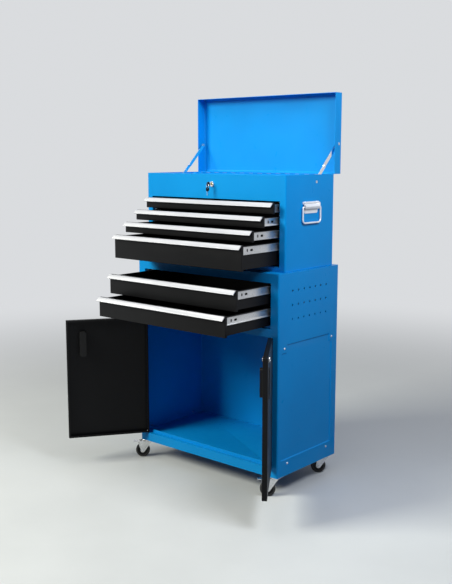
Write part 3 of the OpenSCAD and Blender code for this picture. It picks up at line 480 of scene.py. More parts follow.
def oblong(half_w, half_h, radius):
    """Rounded rectangle about the origin."""
    corners = [(-half_w, -half_h), (half_w, -half_h), (half_w, half_h), (-half_w, half_h)]
    return rounded(corners, radius, 6)


def wire_loop(path, radius, sides):
    """Round wire along a closed line of points."""
    path = [Vector(p) for p in path]
    count = len(path)
    rings = []
    normal = None
    for i, point in enumerate(path):
        ahead = path[(i + 1) % count] - path[i - 1]
        ahead.normalize()
        if normal is None:
            normal = ahead.orthogonal().normalized()
        normal = (normal - ahead * normal.dot(ahead)).normalized()
        side = ahead.cross(normal)
        rings.append([point + radius * (c * normal + s * side) for c, s in around(sides)])
    return loft(rings, loop=True)


def corners_of(form):
    """Lowest and highest corner of a form."""
    spans = [(min(values), max(values)) for values in zip(*(v.co for v in form.verts))]
    return zip(*spans)


def round_outside(form, low, high, radius):
    """Rounds the edges that lie on two faces of the box from low to high."""
    def faces_at(point):
        return {(i, k) for i in range(3) for k, end in enumerate((low, high))
                if abs(point[i] - end[i]) < ON_FACE}
    chosen = [e for e in form.edges
              if len(faces_at(e.verts[0].co) & faces_at(e.verts[1].co)) > 1]
    bmesh.ops.bevel(form, geom=chosen, offset=radius, segments=3, profile=0.5,
                    affect="EDGES", clamp_overlap=False)
    return form


# ---------- rows of small pieces ----------

def row_tree():
    """Node tree that sets copies of a piece in rows: realized, and given their finish."""
    tree = bpy.data.node_groups.new("rows_of_pieces", "GeometryNodeTree")
    sockets = {}
    for name, kind in (("Piece", "Object"), ("Finish", "Material"), ("First place", "Vector"),
                       ("Step", "Vector"), ("Number", "Int"), ("Row step", "Vector"),
                       ("Rows", "Int"), ("Turn", "Vector"), ("Turn step", "Vector")):
        made = tree.interface.new_socket(name, in_out="INPUT", socket_type="NodeSocket" + kind)
        sockets[name] = made.identifier
    tree.interface.new_socket("Geometry", in_out="OUTPUT", socket_type="NodeSocketGeometry")
    given = add(tree, "NodeGroupInput").outputs
    rows = add(tree, "GeometryNodeMeshLine", {"Count": given["Rows"], "Offset": given["Row step"],
                                              "Start Location": given["First place"]})
    line = add(tree, "GeometryNodeMeshLine", {"Count": given["Number"], "Offset": given["Step"]})
    grid = add(tree, "GeometryNodeInstanceOnPoints", {"Points": rows.outputs["Mesh"],
                                                      "Instance": line.outputs["Mesh"]})
    places = add(tree, "GeometryNodeRealizeInstances", {"Geometry": grid.outputs["Instances"]})
    piece = add(tree, "GeometryNodeObjectInfo", {"Object": given["Piece"]})
    count = add(tree, "GeometryNodeInputIndex").outputs["Index"]
    grown = add(tree, "ShaderNodeVectorMath", {0: given["Turn step"], "Scale": count},
                operation="SCALE")
    whole_turn = add(tree, "ShaderNodeVectorMath", {0: grown.outputs["Vector"], 1: given["Turn"]},
                     operation="ADD")
    turn = add(tree, "FunctionNodeEulerToRotation", {"Euler": whole_turn.outputs["Vector"]})
    copies = add(tree, "GeometryNodeInstanceOnPoints", {
        "Points": places.outputs["Geometry"], "Instance": piece.outputs["Geometry"],
        "Rotation": turn.outputs["Rotation"]})
    solid = add(tree, "GeometryNodeRealizeInstances", {"Geometry": copies.outputs["Instances"]})
    finished = add(tree, "GeometryNodeSetMaterial", {"Geometry": solid.outputs["Geometry"],
                                                     "Material": given["Finish"]})
    add(tree, "NodeGroupOutput", {"Geometry": finished.outputs["Geometry"]})
    return tree, sockets


ROW_TREE, ROW_SOCKET = row_tree()


def pattern_object(name, form):
    """Small piece that rows copy. It isn't shown itself."""
    mesh = bpy.data.meshes.new(name)
    form.to_mesh(mesh)
    form.free()
    return bpy.data.objects.new(name, mesh)


def row(pattern, finish, first, step=(0, 0, 0), number=1, row_step=(0, 0, 0), rows=1,
        turn=(0, 0, 0), turn_step=(0, 0, 0)):
    """Rows, or with a turn step and no step a ring, of a pattern piece as one form."""
    carrier = in_scene("row", bpy.data.meshes.new("row"))
    scene.collection.objects.link(pattern)
    maker = carrier.modifiers.new("rows", "NODES")
    maker.node_group = ROW_TREE
    values = {"Piece": pattern, "Finish": FINISHES[finish][0], "First place": first, "Step": step,
              "Number": number, "Row step": row_step, "Rows": rows,
              "Turn": tuple(radians(a) for a in turn),
              "Turn step": tuple(radians(a) for a in turn_step)}
    for name, value in values.items():
        maker[ROW_SOCKET[name]] = value
    shown = carrier.evaluated_get(bpy.context.evaluated_depsgraph_get())
    mesh = bpy.data.meshes.new_from_object(shown)
    form = bmesh.new()
    form.from_mesh(mesh)
    carrier.modifiers.remove(maker)
    bpy.data.objects.remove(carrier)
    scene.collection.objects.unlink(pattern)
    bpy.data.meshes.remove(mesh)
    return form


# ---------- finished pieces ----------

def finished(name, form, finish, body, *nodes, soft=0.0, crease=32):
    """Piece from a form: scaled to metres, creased, its edges softened, on its body."""
    bmesh.ops.scale(form, vec=(0.001, 0.001, 0.001), verts=form.verts)
    mesh = bpy.data.meshes.new(name)
    form.to_mesh(mesh)
    form.free()
    mesh.materials.clear()
    material, slot = FINISHES[finish]
    mesh.materials.append(material)
    mesh.shade_smooth()
    mesh.set_sharp_from_angle(angle=radians(crease))
    made = in_scene(name, mesh)
    if soft:
        edge = made.modifiers.new("softened_edges", "BEVEL")
        edge.width = soft / 1000
        edge.segments = 2
        edge.limit_method = "ANGLE"
        edge.angle_limit = radians(crease)
        edge.harden_normals = True
    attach(made, body)
    if nodes:
        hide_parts(*nodes)
    return made


def dress(node, finish, soft=0.25):
    """CAD node's own form with softened edges."""
    return finished("skin_" + node, cad(node), finish, BODY_OF[node], node, soft=soft)


# ---------- small patterns ----------

def dome_rivet(radius, height):
    """Round rivet head that sits on the x = 0 plane and faces +X."""
    profile = [(0, height), (radius * 0.45, height * 0.93), (radius * 0.8, height * 0.62),
               (radius, height * 0.12), (radius, -0.2), (0, -0.2)]
    return turned(lathe(profile, 20), 90, "Y")


def pan_screw():
    """Pan-head screw with a round drive recess, facing +X."""
    profile = [(0, 0.75), (1.1, 0.75), (1.35, 1.5), (2.2, 1.5), (3.1, 1.15), (3.6, 0.45),
               (3.6, -0.1), (1.9, -0.1), (1.9, -7.8), (0, -8)]
    return turned(lathe(profile, 24), 90, "Y")


RIVET = pattern_object("rivet_head", dome_rivet(3.2, 1.3))
SMALL_RIVET = pattern_object("small_rivet_head", dome_rivet(2.3, 0.8))
SCREW = pattern_object("pan_head_screw", pan_screw())


# ---------- cabinet ----------

PRESS_Y = (-144.0, 130.0)       # pressed field of a cabinet side
PRESS_Z = (119.0, 493.0)
PRESS_NOTCH = (25.0, 12.5)      # its upper corners are cut out, front and rear
PRESS_DEEP = 1.6
PRESS_MORE = 1.3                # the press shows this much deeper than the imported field
PRESS_SLOPE = 2.2               # width of the sloped edge that the press leaves
PRESS_MARGIN = 1.5              # the field's own vertices lie no further outside it
HOLE_R = 2.5                    # perforations, and how far their edges are opened
HOLE_SHOWN = 3.1
HOLE_COUNT = (7, 3)             # columns and rows
HOLE_PITCH = (30.3, 45.0)
HOLE_TOP = 660.6                # height of the upper row
SCREW_PLACES = [(-130.5, 482.0), (127.5, 482.0), (-110.5, 105.5), (105.5, 105.5)]
DOOR_PIN_Z = (95.0, 510.0)      # lower ends of the doors' pins
WORKTOP_ROUNDING = 0.9


def inset(points, width):
    """Outline of square corners, counterclockwise, drawn in on all sides."""
    count = len(points)
    made = []
    for i in range(count):
        before = (Vector(points[i]) - Vector(points[i - 1])).normalized()
        after = (Vector(points[(i + 1) % count]) - Vector(points[i])).normalized()
        inward = Vector((-before.y, before.x)) + Vector((-after.y, after.x))
        made.append(Vector(points[i]) + inward * width)
    return made


def side_panel(name):
    """Folded side whose pressed field has sloped edges."""
    form = cad("cab_side_" + name)
    low, high = span("cab_side_" + name)
    outer = max(abs(low.x), abs(high.x))
    (front, rear), (foot, head) = PRESS_Y, PRESS_Z
    step = head - PRESS_NOTCH[0]
    inner_front, inner_rear = front + PRESS_NOTCH[0], rear - PRESS_NOTCH[1]
    corners = [(front, foot), (rear, foot), (rear, step), (inner_rear, step), (inner_rear, head),
               (inner_front, head), (inner_front, step), (front, step)]
    for vertex in form.verts:
        if abs(abs(vertex.co.x) - outer + PRESS_DEEP) > NEAR:
            continue
        for corner, target in zip(corners, inset(corners, PRESS_SLOPE)):
            if (Vector(vertex.co.yz) - Vector(corner)).length < NEAR:
                vertex.co.yz = target
    deepen_press(form, outer)
    open_holes(form)
    return form


def deepen_press(form, outer):
    """Moves the pressed field further inwards."""
    for vertex in form.verts:
        deep = outer - abs(vertex.co.x)
        in_field = (PRESS_Y[0] - PRESS_MARGIN < vertex.co.y < PRESS_Y[1] + PRESS_MARGIN
                    and PRESS_Z[0] - PRESS_MARGIN < vertex.co.z < PRESS_Z[1] + PRESS_MARGIN)
        if in_field and PRESS_DEEP - 0.1 < deep < PRESS_DEEP + SHEET + 0.1:
            vertex.co.x -= PRESS_MORE * (1 if vertex.co.x > 0 else -1)


def open_holes(form):
    """Opens the perforations to the size that they show with their dark rims."""
    columns, rows = HOLE_COUNT
    places = [((i - columns // 2) * HOLE_PITCH[0], HOLE_TOP - j * HOLE_PITCH[1])
              for i in range(columns) for j in range(rows)]
    for vertex in form.verts:
        for place in places:
            away = Vector(vertex.co.yz) - Vector(place)
            if away.length < HOLE_R + 0.2:
                vertex.co.yz = Vector(place) + away * (HOLE_SHOWN / HOLE_R)


def make_side_fasteners():
    """Panel screws and the doors' pins, on both sides."""
    screws = [row(SCREW, "zinc", (CABINET_HALF, y, z)) for y, z in SCREW_PLACES]
    pin = [(0, 0), (1.5, 0), (1.8, 0.4), (1.8, 8.6), (1.5, 9), (0, 9)]
    pins = [moved(lathe(pin, 20), PIN.x, PIN.y, z) for z in DOOR_PIN_Z]
    finished("screws_and_pins", mirror_pair(joined(*screws, *pins)), "zinc", "cabinet",
             "cab_fasteners")


def make_cabinet():
    """Panels, worktop, fixed slides and fasteners of the lower cabinet."""
    for name in ("left", "right"):
        finished("side_panel_" + name, side_panel(name), "azure", "cabinet", "cab_side_" + name,
                 soft=0.45, crease=18)
    for node in ("cab_back", "cab_divider", "cab_base"):
        dress(node, "azure", soft=0.4)
    low, high = span("cab_top")
    form = cad("cab_top")
    round_outside(form, (low.x - OUT_OF_REACH, low.y, low.z - OUT_OF_REACH),
                  (high.x + OUT_OF_REACH, high.y + OUT_OF_REACH, high.z), WORKTOP_ROUNDING)
    finished("worktop", form, "azure", "cabinet", "cab_top", soft=0.3)
    dress("cab_slides", "zinc")
    make_side_fasteners()


# ---------- top chest ----------

HINGE_Z = 1016.4
HINGE_Y = 138.5
LEAF_RIVETS = (-260.0, 40.0, 14)        # first rivet's place along a leaf, step and number
LEAF_RIVETS_OFF = 12.0                  # their row from the pin's axis
CHEST_LEAF_FACE = 1.0                   # outside of each leaf behind the pin's axis
LID_LEAF_FACE = 1.3
LEAF_END = 288.0                        # the stay rivets of the lid lie beyond the leaf


def lid_open(form):
    """Turns a form from the shut lid's place to the open one."""
    return swung(form, Vector((0, HINGE_Y, HINGE_Z)), -90, "X")


def leaf_rivets(z, y):
    """Row of small rivet heads on the outside of a hinge leaf."""
    first, step, number = LEAF_RIVETS
    return row(SMALL_RIVET, "azure", (first, y, z), (step, 0, 0), number, turn=(0, 0, 90))


def part_of(form, wanted):
    """Keeps the vertices that the test picks."""
    bmesh.ops.delete(form, geom=[v for v in form.verts if not wanted(v.co)], context="VERTS")
    return form


def make_hinge():
    """Painted piano hinge: a leaf on the chest and one on the lid, with their rivets."""
    chest_row = leaf_rivets(HINGE_Z - LEAF_RIVETS_OFF, HINGE_Y + CHEST_LEAF_FACE)
    finished("hinge_leaf_chest", joined(cad("chest_hinge"), chest_row), "azure", "chest",
             "chest_hinge", soft=0.2)
    leaf = part_of(cad("lid_fittings"), lambda p: abs(p.x) < LEAF_END)
    rivets = part_of(cad("lid_fittings"), lambda p: abs(p.x) > LEAF_END)
    lid_row = lid_open(leaf_rivets(HINGE_Z + LEAF_RIVETS_OFF, HINGE_Y + LID_LEAF_FACE))
    finished("hinge_leaf_lid", joined(leaf, lid_row), "azure", "lid", "lid_fittings", soft=0.2)
    finished("stay_rivets_lid", rivets, "zinc", "lid", soft=0.3)


def make_chest():
    """Shell, lid, fixed slides, stays and hinge of the top chest."""
    for node in ("chest_shell", "chest_fascia", "chest_till_floor", "chest_base", "lid_shell"):
        dress(node, "azure", soft=0.4)
    dress("chest_slides", "zinc")
    dress("chest_rivets", "zinc", soft=0.3)
    for node in ("stay_arms_lid", "stay_arms_chest"):
        dress(node, "chrome", soft=0.3)
    make_hinge()


# ---------- side handles ----------

HANDLE_Y = 8.5
HANDLE_Z = 915.9
BRACKET_SHEET = 1.5
BAIL_DROP = 50.0
BAIL_R = 3.0
BAIL_OUT = 5.0                  # its wire's middle from the chest's side
COVER_HALF = 40.0               # half lengths of the bracket's roll and of the crease on it
CREASE_HALF = 36.0
BRACKET_RIVETS = ((-30.0, -13.5), (60.0, 28.0))     # first place and steps along and upright


def at_handle(form):
    """Moves a form drawn on the x = 0 plane about the bail's bar to the chest's right side."""
    return moved(form, CHEST_HALF, HANDLE_Y, HANDLE_Z)


def handle_bracket():
    """Pressed bracket: a plate rolled over the bail's bar, a tongue below, and flared ears."""
    roll = [(0.75, 12.0), (0.75, 9.6), (7.6, 7.4), (9.6, 3.2), (9.6, -1.4), (7.8, -6.0),
            (0.75, -7.6), (0.75, -9.5)]
    cover = fold(roll, [0.7, 2.4, 2.4, 2.4, 2.4, 0.7], "y", -COVER_HALF, COVER_HALF,
                 BRACKET_SHEET)
    crease = fold([(9.9, 3.4), (10.9, 2.2), (10.9, 0.2), (9.9, -1.0)], 0.5, "y",
                  -CREASE_HALF, CREASE_HALF, 0.7)
    plate = prism(rounded([(-43, 9), (43, 9), (43, 17), (-43, 17)], [0.5, 0.5, 3, 3]),
                  "x", 0, BRACKET_SHEET)
    tongue = prism(rounded([(-34, -20), (34, -20), (37.5, -8), (-37.5, -8)], [4, 4, 0.5, 0.5]),
                   "x", 0, BRACKET_SHEET)
    ear = fold([(0.75, 36.0), (4.2, 38.9), (8.0, 42.6)], 3.0, "z", 4.5, 16.4, BRACKET_SHEET)
    for vertex in ear.verts:
        if vertex.co.z > 10 and vertex.co.x > 3:
            vertex.co.z -= (vertex.co.x - 3) * 0.8
    ears = joined(ear, turned_over(ear))
    first, steps = BRACKET_RIVETS
    rivets = row(RIVET, "pale", (BRACKET_SHEET, *first), (0, steps[0], 0), 2, (0, 0, steps[1]), 2)
    return at_handle(joined(cover, crease, plate, tongue, ears, rivets))


def wire_bail():
    """Closed wire bail: its bar lies in the bracket, its sides spread a little downwards."""
    loop = rounded([(-47, 0), (-48, -BAIL_DROP), (48, -BAIL_DROP), (47, 0)],
                   [4.5, 12, 12, 4.5], 8)
    return at_handle(wire_loop([(BAIL_OUT, u, v) for u, v in loop], BAIL_R, 20))


def make_side_handles():
    finished("handle_brackets_pressed", mirror_pair(handle_bracket()), "pale", "chest",
             "handle_brackets", soft=0.3)
    finished("wire_bail_right", wire_bail(), "pale", "bail_right", "handle_bail_right")
    finished("wire_bail_left", placed(wire_bail(), MIRROR_X), "pale", "bail_left",
             "handle_bail_left")


# ---------- chest lock and keys ----------

LOCK_Z = 984.0                  # chest lock above the floor
KEY_Y = CHEST_FRONT - 19.0      # middle of the standing key's bow, in front of the fascia
RING_Y = KEY_Y - 3.5            # the ring goes through the bow's hole
RING_DOWN = 6.4                 # the ring's and the hung key's middles are this far under it
HUNG_DOWN = 16.3
RING_R = 5.2


def keyed(form):
    """Key drawn about its bow's centre, blade along +Y, to its place in the lock."""
    return moved(form, 0, KEY_Y, LOCK_Z)


def hung(form):
    """The same key to its place under the ring, blade down."""
    return moved(turned(form, -90, "X"), 0, RING_Y, LOCK_Z - HUNG_DOWN)


def key_bow():
    """Moulded round bow with a rolled rim and the ring's hole."""
    def circle(x, radius, y=0.0):
        return [(x, y + radius * c, radius * s) for c, s in around(40)]
    rings = [circle(-0.9, 2.0, -3.5), circle(0.9, 2.0, -3.5), circle(1.0, 2.6, -3.3),
             circle(0.9, 5.6), circle(1.3, 6.3), circle(1.3, 6.9), circle(0.8, 7.45),
             circle(-0.8, 7.45), circle(-1.3, 6.9), circle(-1.3, 6.3), circle(-0.9, 5.6),
             circle(-1.0, 2.6, -3.3)]
    return loft(rings, loop=True)


def key_blade():
    """Flat blade with its shoulder and the lock's cuts along both edges."""
    outline = [(6.6, -3.3), (9.0, -3.3), (9.6, -2.6), (11.0, -2.6), (12.0, -1.9), (13.2, -2.6),
               (14.4, -1.6), (15.8, -2.6), (17.0, -2.0), (18.4, -2.6), (20.2, -1.6), (20.9, 0.0),
               (20.2, 1.6), (18.8, 2.6), (17.4, 1.8), (16.0, 2.6), (14.6, 1.9), (13.0, 2.6),
               (11.6, 1.5), (10.2, 2.6), (9.6, 2.6), (9.0, 3.3), (6.6, 3.3)]
    return prism(outline, "x", -0.9, 0.9)


def make_lock():
    """Chest lock with one key in it, and the other on the ring below."""
    dress("chest_lock_body", "chrome", soft=0.6)
    dress("chest_lock_plug", "brass", soft=0.2)
    finished("key_bows", joined(keyed(key_bow()), hung(key_bow())), "bow", "chest_lock",
             "lock_keys", soft=0.15)
    finished("key_blades", joined(keyed(key_blade()), hung(key_blade())), "chrome", "chest_lock",
             soft=0.12)
    ring = [(RING_R * c, 0, RING_R * s) for c, s in around(48)]
    finished("key_ring", moved(wire_loop(ring, 0.85, 12), 0, RING_Y, LOCK_Z - RING_DOWN),
             "chrome", "chest_lock")


# ---------- drawers ----------

PULL_OUTLINE = [(0, 0), (-2.8, 0), (-13, -11.5), (-12.4, -13.2), (-11, -12.4), (-1.5, -1.7),
                (-1.5, -14), (0, -14)]
PULL_ROUNDING = [0.2, 2.2, 0.8, 0.7, 0.5, 0.8, 0.3, 0.3]
PULL_LIP = (9.0, 2.0)           # the lip stays within this from the strip's top and front
PULL_LEG_IN = 9.0               # the leg under the lip ends this much before the strip
PULL_END_GAP = 0.8
RIM_DOWN = 4.0                  # tray's rim under its front's top
HEM_IN = (2.6, 0.9)             # hem's inner and outer face inside the tray's outside
HEM_DEEP = 7.0
HEM_ENDS = (9.5, 1.5, 3.0)      # hems end before the front, the rear and the sides
TRAY_ROUNDING = 1.6
SLOT_AHEAD = 6.0                # the rails' slots show this much nearer to the front
SLOT_HALF = 4.5                 # their vertices lie within this from the rail's middle
# a slot's distance from the rail's front end, its reach, and its stretch along and upright
SLOTS = ((36.0, 4.2, 1.9, 1.25), (56.0, 7.0, 1.25, 1.5))


def pull_strip(low, high):
    """Finger pull along the front's top. The leg on the front is cut back at both ends."""
    outline = rounded([(y + low.y, z + high.z) for y, z in PULL_OUTLINE], PULL_ROUNDING)
    form = prism(outline, "x", low.x + PULL_END_GAP, high.x - PULL_END_GAP)
    for vertex in form.verts:
        if vertex.co.z < high.z - PULL_LIP[0] and vertex.co.y > low.y - PULL_LIP[1]:
            vertex.co.x -= PULL_LEG_IN * (1 if vertex.co.x > 0 else -1)
    return form


def hem_section(edge, rim):
    """Section of the hem that is rolled inside one edge of the tray."""
    inner, outer = edge - HEM_IN[0], edge - HEM_IN[1]
    return rounded([(inner, rim - HEM_DEEP), (outer, rim - HEM_DEEP), (outer, rim), (inner, rim)],
                   0.8, 3)


def drawer_box(number):
    """Folded front, tray and the hems along the tray's rim."""
    low, high = span(f"drawer_tray_{number}")
    form = cad(f"drawer_tray_{number}")
    round_outside(form, low, (high.x, high.y + OUT_OF_REACH, high.z), TRAY_ROUNDING)
    rim = high.z - RIM_DOWN
    at_front, at_rear, at_side = HEM_ENDS
    side = prism(hem_section(TRAY_HALF, rim), "y", low.y + at_front, high.y - at_rear)
    rear = prism(hem_section(high.y, rim), "x", -TRAY_HALF + at_side, TRAY_HALF - at_side)
    return joined(form, mirror_pair(side), rear)


def runner_form(number):
    """Drawer's own rails, their locking slots opened to the size that shows."""
    form = cad(f"drawer_runners_{number}")
    low, high = span(f"drawer_runners_{number}")
    middle = (low.z + high.z) / 2
    for place, reach, along, upright in SLOTS:
        centre = low.y + place
        for vertex in form.verts:
            if abs(vertex.co.y - centre) < reach and abs(vertex.co.z - middle) < SLOT_HALF:
                vertex.co.y = centre - SLOT_AHEAD + (vertex.co.y - centre) * along
                vertex.co.z = middle + (vertex.co.z - middle) * upright
    return form


def make_drawer(number):
    """Box, finger pull and rails of one drawer."""
    body = f"drawer_{number}"
    low, high = span(f"drawer_tray_{number}")
    finished(f"drawer_box_{number}", drawer_box(number), "black", body, f"drawer_tray_{number}",
             soft=0.2)
    finished(f"finger_pull_{number}", pull_strip(low, high), "pull", body,
             f"drawer_pull_{number}", soft=0.25)
    finished(f"drawer_rails_{number}", runner_form(number), "zinc", body,
             f"drawer_runners_{number}", soft=0.25)


# ---------- doors ----------

HANDLE_AT = (57.5, 433.0)       # door handle's middle on the shut right door
HANDLE_HALF = (13.0, 46.0)
CUP_DEEP = 26.0
DOOR_ROUNDING = 1.6
# the cup's rings from its back rim over the bezel to its floor: how far in across and upright,
# corner radius and depth behind the door's front
CUP_RINGS = [(2.0, 3.0, 7.0, CUP_DEEP), (2.0, 3.0, 7.0, 0.0), (0.0, 0.0, 5.0, 0.0),
             (0.0, 0.0, 5.0, -1.5), (0.5, 0.5, 4.8, -2.2), (1.4, 1.4, 4.4, -2.5),
             (3.0, 3.6, 4.0, -2.3), (4.0, 5.0, 5.5, -1.2), (4.4, 5.6, 5.5, 8.0),
             (5.2, 7.0, 5.0, CUP_DEEP - 3.5), (7.0, 9.0, 3.5, CUP_DEEP - 1.9)]


def swing_door(form, side, back=False):
    """Swings a form from its shut place to its open one, or back."""
    angle = DOOR_ANGLE * side * (-1 if back else 1)
    return swung(form, Vector((PIN.x * side, PIN.y, 0)), angle, "Z")


def finger_cup():
    """Moulded finger cup with a rounded bezel, on the shut right door."""
    half_w, half_h = HANDLE_HALF
    rings = []
    for in_w, in_h, radius, depth in CUP_RINGS:
        outline = oblong(half_w - in_w, half_h - in_h, radius)
        rings.append([(HANDLE_AT[0] + u, CABINET_FRONT + depth, HANDLE_AT[1] + v)
                      for u, v in outline])
    return loft(rings)


def make_door(name, side):
    """Door pan with rounded outer edges, and its finger cup."""
    form = swing_door(cad("door_" + name), side, back=True)
    round_outside(form, *corners_of(form), DOOR_ROUNDING)
    finished("door_panel_" + name, swing_door(form, side), "black", "door_" + name, "door_" + name,
             soft=0.2)
    cup = finger_cup()
    if side < 0:
        placed(cup, MIRROR_X)
    finished("finger_cup_" + name, swing_door(cup, side), "plastic", "door_" + name,
             "door_handle_" + name)


# ---------- casters ----------

CASTERS = {"fl": (-1, -1), "fr": (1, -1), "rl": (-1, 1), "rr": (1, 1)}  # side in x and in y
FORK_TOP = 61.0
CHEEK = 11.5                    # outside of a fork's cheek from the wheel's middle
LEVER = (38.0, 54.0)            # brake pedal's pin along the trail and above the floor
PEDAL_TILT = 8.0
PEDAL_RIDGES = (9.0, 2.4, 4)    # first ridge's place along the pedal, step and number
PEDAL_TOP = 2.75
HUB_RIBS = 8


def at_caster(form, sides):
    """Moves a form drawn with its trail along +X to its caster."""
    return placed(form, Matrix.Translation((sides[0] * CASTER_AT[0], sides[1] * CASTER_AT[1], 0))
                  @ Matrix.Rotation(radians(CASTER_HEADING), 4, "Z"))


def mirrored_profile(half):
    """Closed section from its half on the side of +height."""
    return half + [(radius, -height) for radius, height in reversed(half)]


def wheel_tread():
    """Rounded tread with a moulding groove round its middle."""
    half = [(24.2, 0.4), (25.0, 0.9), (25.0, 4.2), (24.4, 6.4), (23.0, 7.9), (20.6, 8.4),
            (17.6, 8.2)]
    return lathe(mirrored_profile(half), 72, closed=True)


WHEEL_RIB = pattern_object("wheel_rib", joined(slab((7.5, -0.8, 5.5), (15.6, 0.8, 7.7)),
                                               slab((7.5, -0.8, -7.7), (15.6, 0.8, -5.5))))


def wheel_hub():
    """Moulded hub with a flanged boss, a sunk web and eight ribs on each face."""
    half = [(17.6, 7.9), (16.4, 8.0), (15.4, 6.0), (8.4, 5.8), (7.4, 7.4), (6.8, 8.8), (5.2, 9.0),
            (3.08, 9.0)]
    ribs = row(WHEEL_RIB, "plastic", (0, 0, 0), number=HUB_RIBS, turn_step=(0, 0, 360 / HUB_RIBS))
    return joined(lathe(mirrored_profile(half), 56, closed=True), ribs)


def upright_wheel(form, sides):
    """Stands a wheel drawn about +Z on its axle."""
    return at_caster(moved(turned(form, 90, "X"), CASTER_TRAIL, 0, WHEEL_R), sides)


PEDAL_RIDGE = pattern_object("pedal_ridge", prism(rounded([(-0.6, -0.5), (0.6, -0.5), (0.35, 0.5),
                                                           (-0.35, 0.5)], 0.2, 2), "x", -8, 8))


def pedal_ridges():
    """Grip ridges across the brake pedal."""
    first, step, number = PEDAL_RIDGES
    made = row(PEDAL_RIDGE, "zinc", (first, 0, PEDAL_TOP), (step, 0, 0), number, turn=(0, 0, 90))
    return moved(turned(made, -PEDAL_TILT, "Y"), LEVER[0], 0, LEVER[1])


def cheek_bead():
    """Pressed bead that stiffens a cheek from the crown down to the axle."""
    def outline(reach):
        return rounded([(1 - reach, 57 + reach), (24 + reach, 57 + reach), (30 + reach, 34 - reach),
                        (21 - reach, 32 - reach)], 1.4 + reach, 4)
    rings = [[(u, CHEEK + w, v) for u, v in outline(reach)]
             for reach, w in ((0.9, -0.3), (0.7, 0.1), (0.0, 0.75))]
    return loft(rings)


def hexagon_nut(radius, height):
    """Chamfered hexagon nut with its bolt's end, standing on the z = 0 plane."""
    def ring(reach, z):
        return [(reach * c, reach * s, z) for c, s in around(6)]
    nut = loft([ring(radius, 0), ring(radius, height * 0.8), ring(radius * 0.86, height)])
    end = [(0, height * 1.5), (radius * 0.4, height * 1.5), (radius * 0.48, height * 1.4),
           (radius * 0.48, height * 0.9), (0, height * 0.9)]
    return joined(nut, lathe(end, 20))


def fork_fittings():
    """Beads on both cheeks, the axle's washers and nuts, and the swivel's lower race."""
    bead = cheek_bead()
    nut = moved(turned(joined(lathe([(0, 0), (6.2, 0), (6.2, 0.7), (5.9, 0.9), (0, 0.9)], 32),
                              moved(hexagon_nut(4.7, 2.0), 0, 0, 0.8)), -90, "X"),
                CASTER_TRAIL, CHEEK, WHEEL_R)
    one_side = joined(bead, nut)
    race = lathe([(11.5, FORK_TOP - 0.2), (15.0, FORK_TOP - 0.2), (15.0, FORK_TOP + 0.5),
                  (14.2, FORK_TOP + 1.1), (12.4, FORK_TOP + 1.1), (11.5, FORK_TOP + 0.7)],
                 48, closed=True)
    return joined(one_side, turned_over(one_side), race)


def race_cap():
    """Rolled cap of the swivel's upper race, under the top plate."""
    return lathe([(10.5, 64.2), (16.4, 64.2), (17.6, 63.4), (17.9, 61.9), (17.2, 61.9),
                  (16.6, 63.0), (15.6, 63.4), (10.5, 63.4)], 56, closed=True)


def make_caster(name, sides):
    """Wheel and fork, and on the front pair the brake pedal."""
    finished("tread_" + name, upright_wheel(wheel_tread(), sides), "rubber", "wheel_" + name,
             "caster_wheel_" + name)
    finished("wheel_hub_" + name, upright_wheel(wheel_hub(), sides), "plastic", "wheel_" + name,
             soft=0.2)
    fork = joined(cad("caster_fork_" + name), at_caster(fork_fittings(), sides))
    finished("fork_" + name, fork, "bright", "caster_" + name, "caster_fork_" + name, soft=0.35)
    if sides[1] < 0:
        form = joined(cad("brake_lever_" + name), at_caster(pedal_ridges(), sides))
        finished("brake_pedal_" + name, form, "bright", "brake_" + name, "brake_lever_" + name,
                 soft=0.25)


def make_caster_plates():
    """Top plates of all casters, with the caps of their races."""
    caps = [moved(race_cap(), x * CASTER_AT[0], y * CASTER_AT[1]) for x in (-1, 1)
            for y in (-1, 1)]
    finished("top_plates", joined(cad("caster_plates"), *caps), "bright", "cabinet",
             "caster_plates", soft=0.3)


# ---------- everything ----------

make_cabinet()
make_chest()
make_side_handles()
make_lock()
for drawer in range(1, 7):
    make_drawer(drawer)
make_door("right", 1)
make_door("left", -1)
dress("door_lock_body", "chrome", soft=0.5)
dress("door_lock_plug", "zinc", soft=0.3)
make_caster_plates()
for caster, sides in CASTERS.items():
    make_caster(caster, sides)


# ---------- camera, light and floor ----------

BACKGROUND = (0.70, 0.715, 0.735)
AMBIENT = (0.060, 0.075, 0.105)     # what the surroundings give the object as light
FLOOR_BOUNCE = (0.085, 0.105, 0.135)
HAZE = (0.75, 3.6)                  # metres from the middle: the floor's fade starts and ends


def make_view():
    """Camera at the photograph's height, distance and angle."""
    eye = bpy.data.cameras.new("eye")
    eye.sensor_fit = "AUTO"
    eye.sensor_width = 36.0
    eye.lens = 53.91
    stand = in_scene("camera", eye)
    stand.location = (1.90539, -2.26292, 1.07954)
    stand.rotation_euler = (radians(81.05), 0, radians(40.76))
    scene.camera = stand


def area_light(name, place, aim, width, height, power, colour=(1, 1, 1)):
    """Rectangular soft light that faces a point."""
    lamp = bpy.data.lights.new(name, "AREA")
    lamp.shape = "RECTANGLE"
    lamp.size = width
    lamp.size_y = height
    lamp.energy = power
    lamp.color = colour
    stand = in_scene(name, lamp)
    stand.location = place
    stand.rotation_euler = (Vector(aim) - Vector(place)).to_track_quat("-Z", "Y").to_euler()


def seen_directly(tree):
    """1 for what the camera sees, also in a mirror or through glass, and 0 for other light."""
    path = add(tree, "ShaderNodeLightPath").outputs
    either = add(tree, "ShaderNodeMath", {0: path["Is Camera Ray"], 1: path["Is Glossy Ray"]},
                 operation="MAXIMUM").outputs[0]
    return add(tree, "ShaderNodeMath", {0: either, 1: path["Is Transmission Ray"]},
               operation="MAXIMUM").outputs[0]


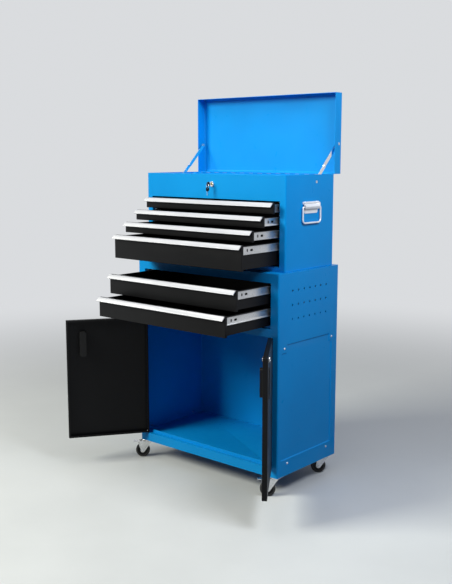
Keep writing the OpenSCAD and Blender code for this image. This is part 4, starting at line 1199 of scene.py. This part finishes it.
def make_world():
    """Even surroundings: the pale background for the eye, a dimmer light for the object."""
    world = bpy.data.worlds.new("studio")
    world.use_nodes = True
    scene.world = world
    tree = world.node_tree
    shade = tint(tree, seen_directly(tree), AMBIENT, BACKGROUND)
    wire(tree, tree.nodes["Background"], {"Color": shade})


def make_floor():
    """Pale floor that runs out into the background. It throws little light back up."""
    material, tree, shader, place = new_finish("pale_floor")
    slow = cloud(tree, place, 2.0, 6.0, 0.6)
    pale = mottle(tree, slow, (0.60, 0.61, 0.62), (0.65, 0.66, 0.67))
    dim = add(tree, "ShaderNodeMix", {0: seen_directly(tree), 7: pale}, data_type="RGBA")
    dim.inputs[6].default_value = (*FLOOR_BOUNCE, 1.0)
    wire(tree, shader, {"Base Color": dim.outputs[2],
                        "Roughness": between(tree, slow, 0.55, 0.7),
                        "Normal": relief(tree, slow, 0.05, 1.0)})
    far = add(tree, "ShaderNodeVectorMath", {0: place}, operation="LENGTH").outputs["Value"]
    haze = add(tree, "ShaderNodeMapRange", {"Value": far, "From Min": HAZE[0], "From Max": HAZE[1]},
               interpolation_type="SMOOTHSTEP").outputs["Result"]
    glow = add(tree, "ShaderNodeEmission", {"Color": (*BACKGROUND, 1.0)})
    share = add(tree, "ShaderNodeMath", {0: haze, 1: seen_directly(tree)}, operation="MULTIPLY")
    blend = add(tree, "ShaderNodeMixShader", {0: share.outputs[0], 1: shader.outputs[0],
                                              2: glow.outputs[0]})
    wire(tree, tree.nodes["Material Output"], {"Surface": blend.outputs[0]})
    mesh = bpy.data.meshes.new("floor")
    mesh.from_pydata([(-40, -40, 0), (40, -40, 0), (40, 40, 0), (-40, 40, 0)], [], [(0, 1, 2, 3)])
    mesh.materials.append(material)
    in_scene("floor", mesh)


def make_studio():
    """Pale surroundings, a large light from the front left, and small ones right and above."""
    scene.view_settings.view_transform = "Standard"
    make_world()
    make_floor()
    area_light("key_light", (-1.5, -2.95, 2.6), (0, 0, 0.85), 1.7, 1.4, 156, (1.0, 1.0, 0.86))
    area_light("side_light", (1.4, -0.4, 1.9), (0.2, 0.05, 0.95), 0.7, 0.7, 25, (0.90, 0.95, 1.0))
    area_light("top_light", (0.1, -0.6, 3.2), (0, 0, 0.5), 1.4, 1.4, 20)


make_view()
make_studio()
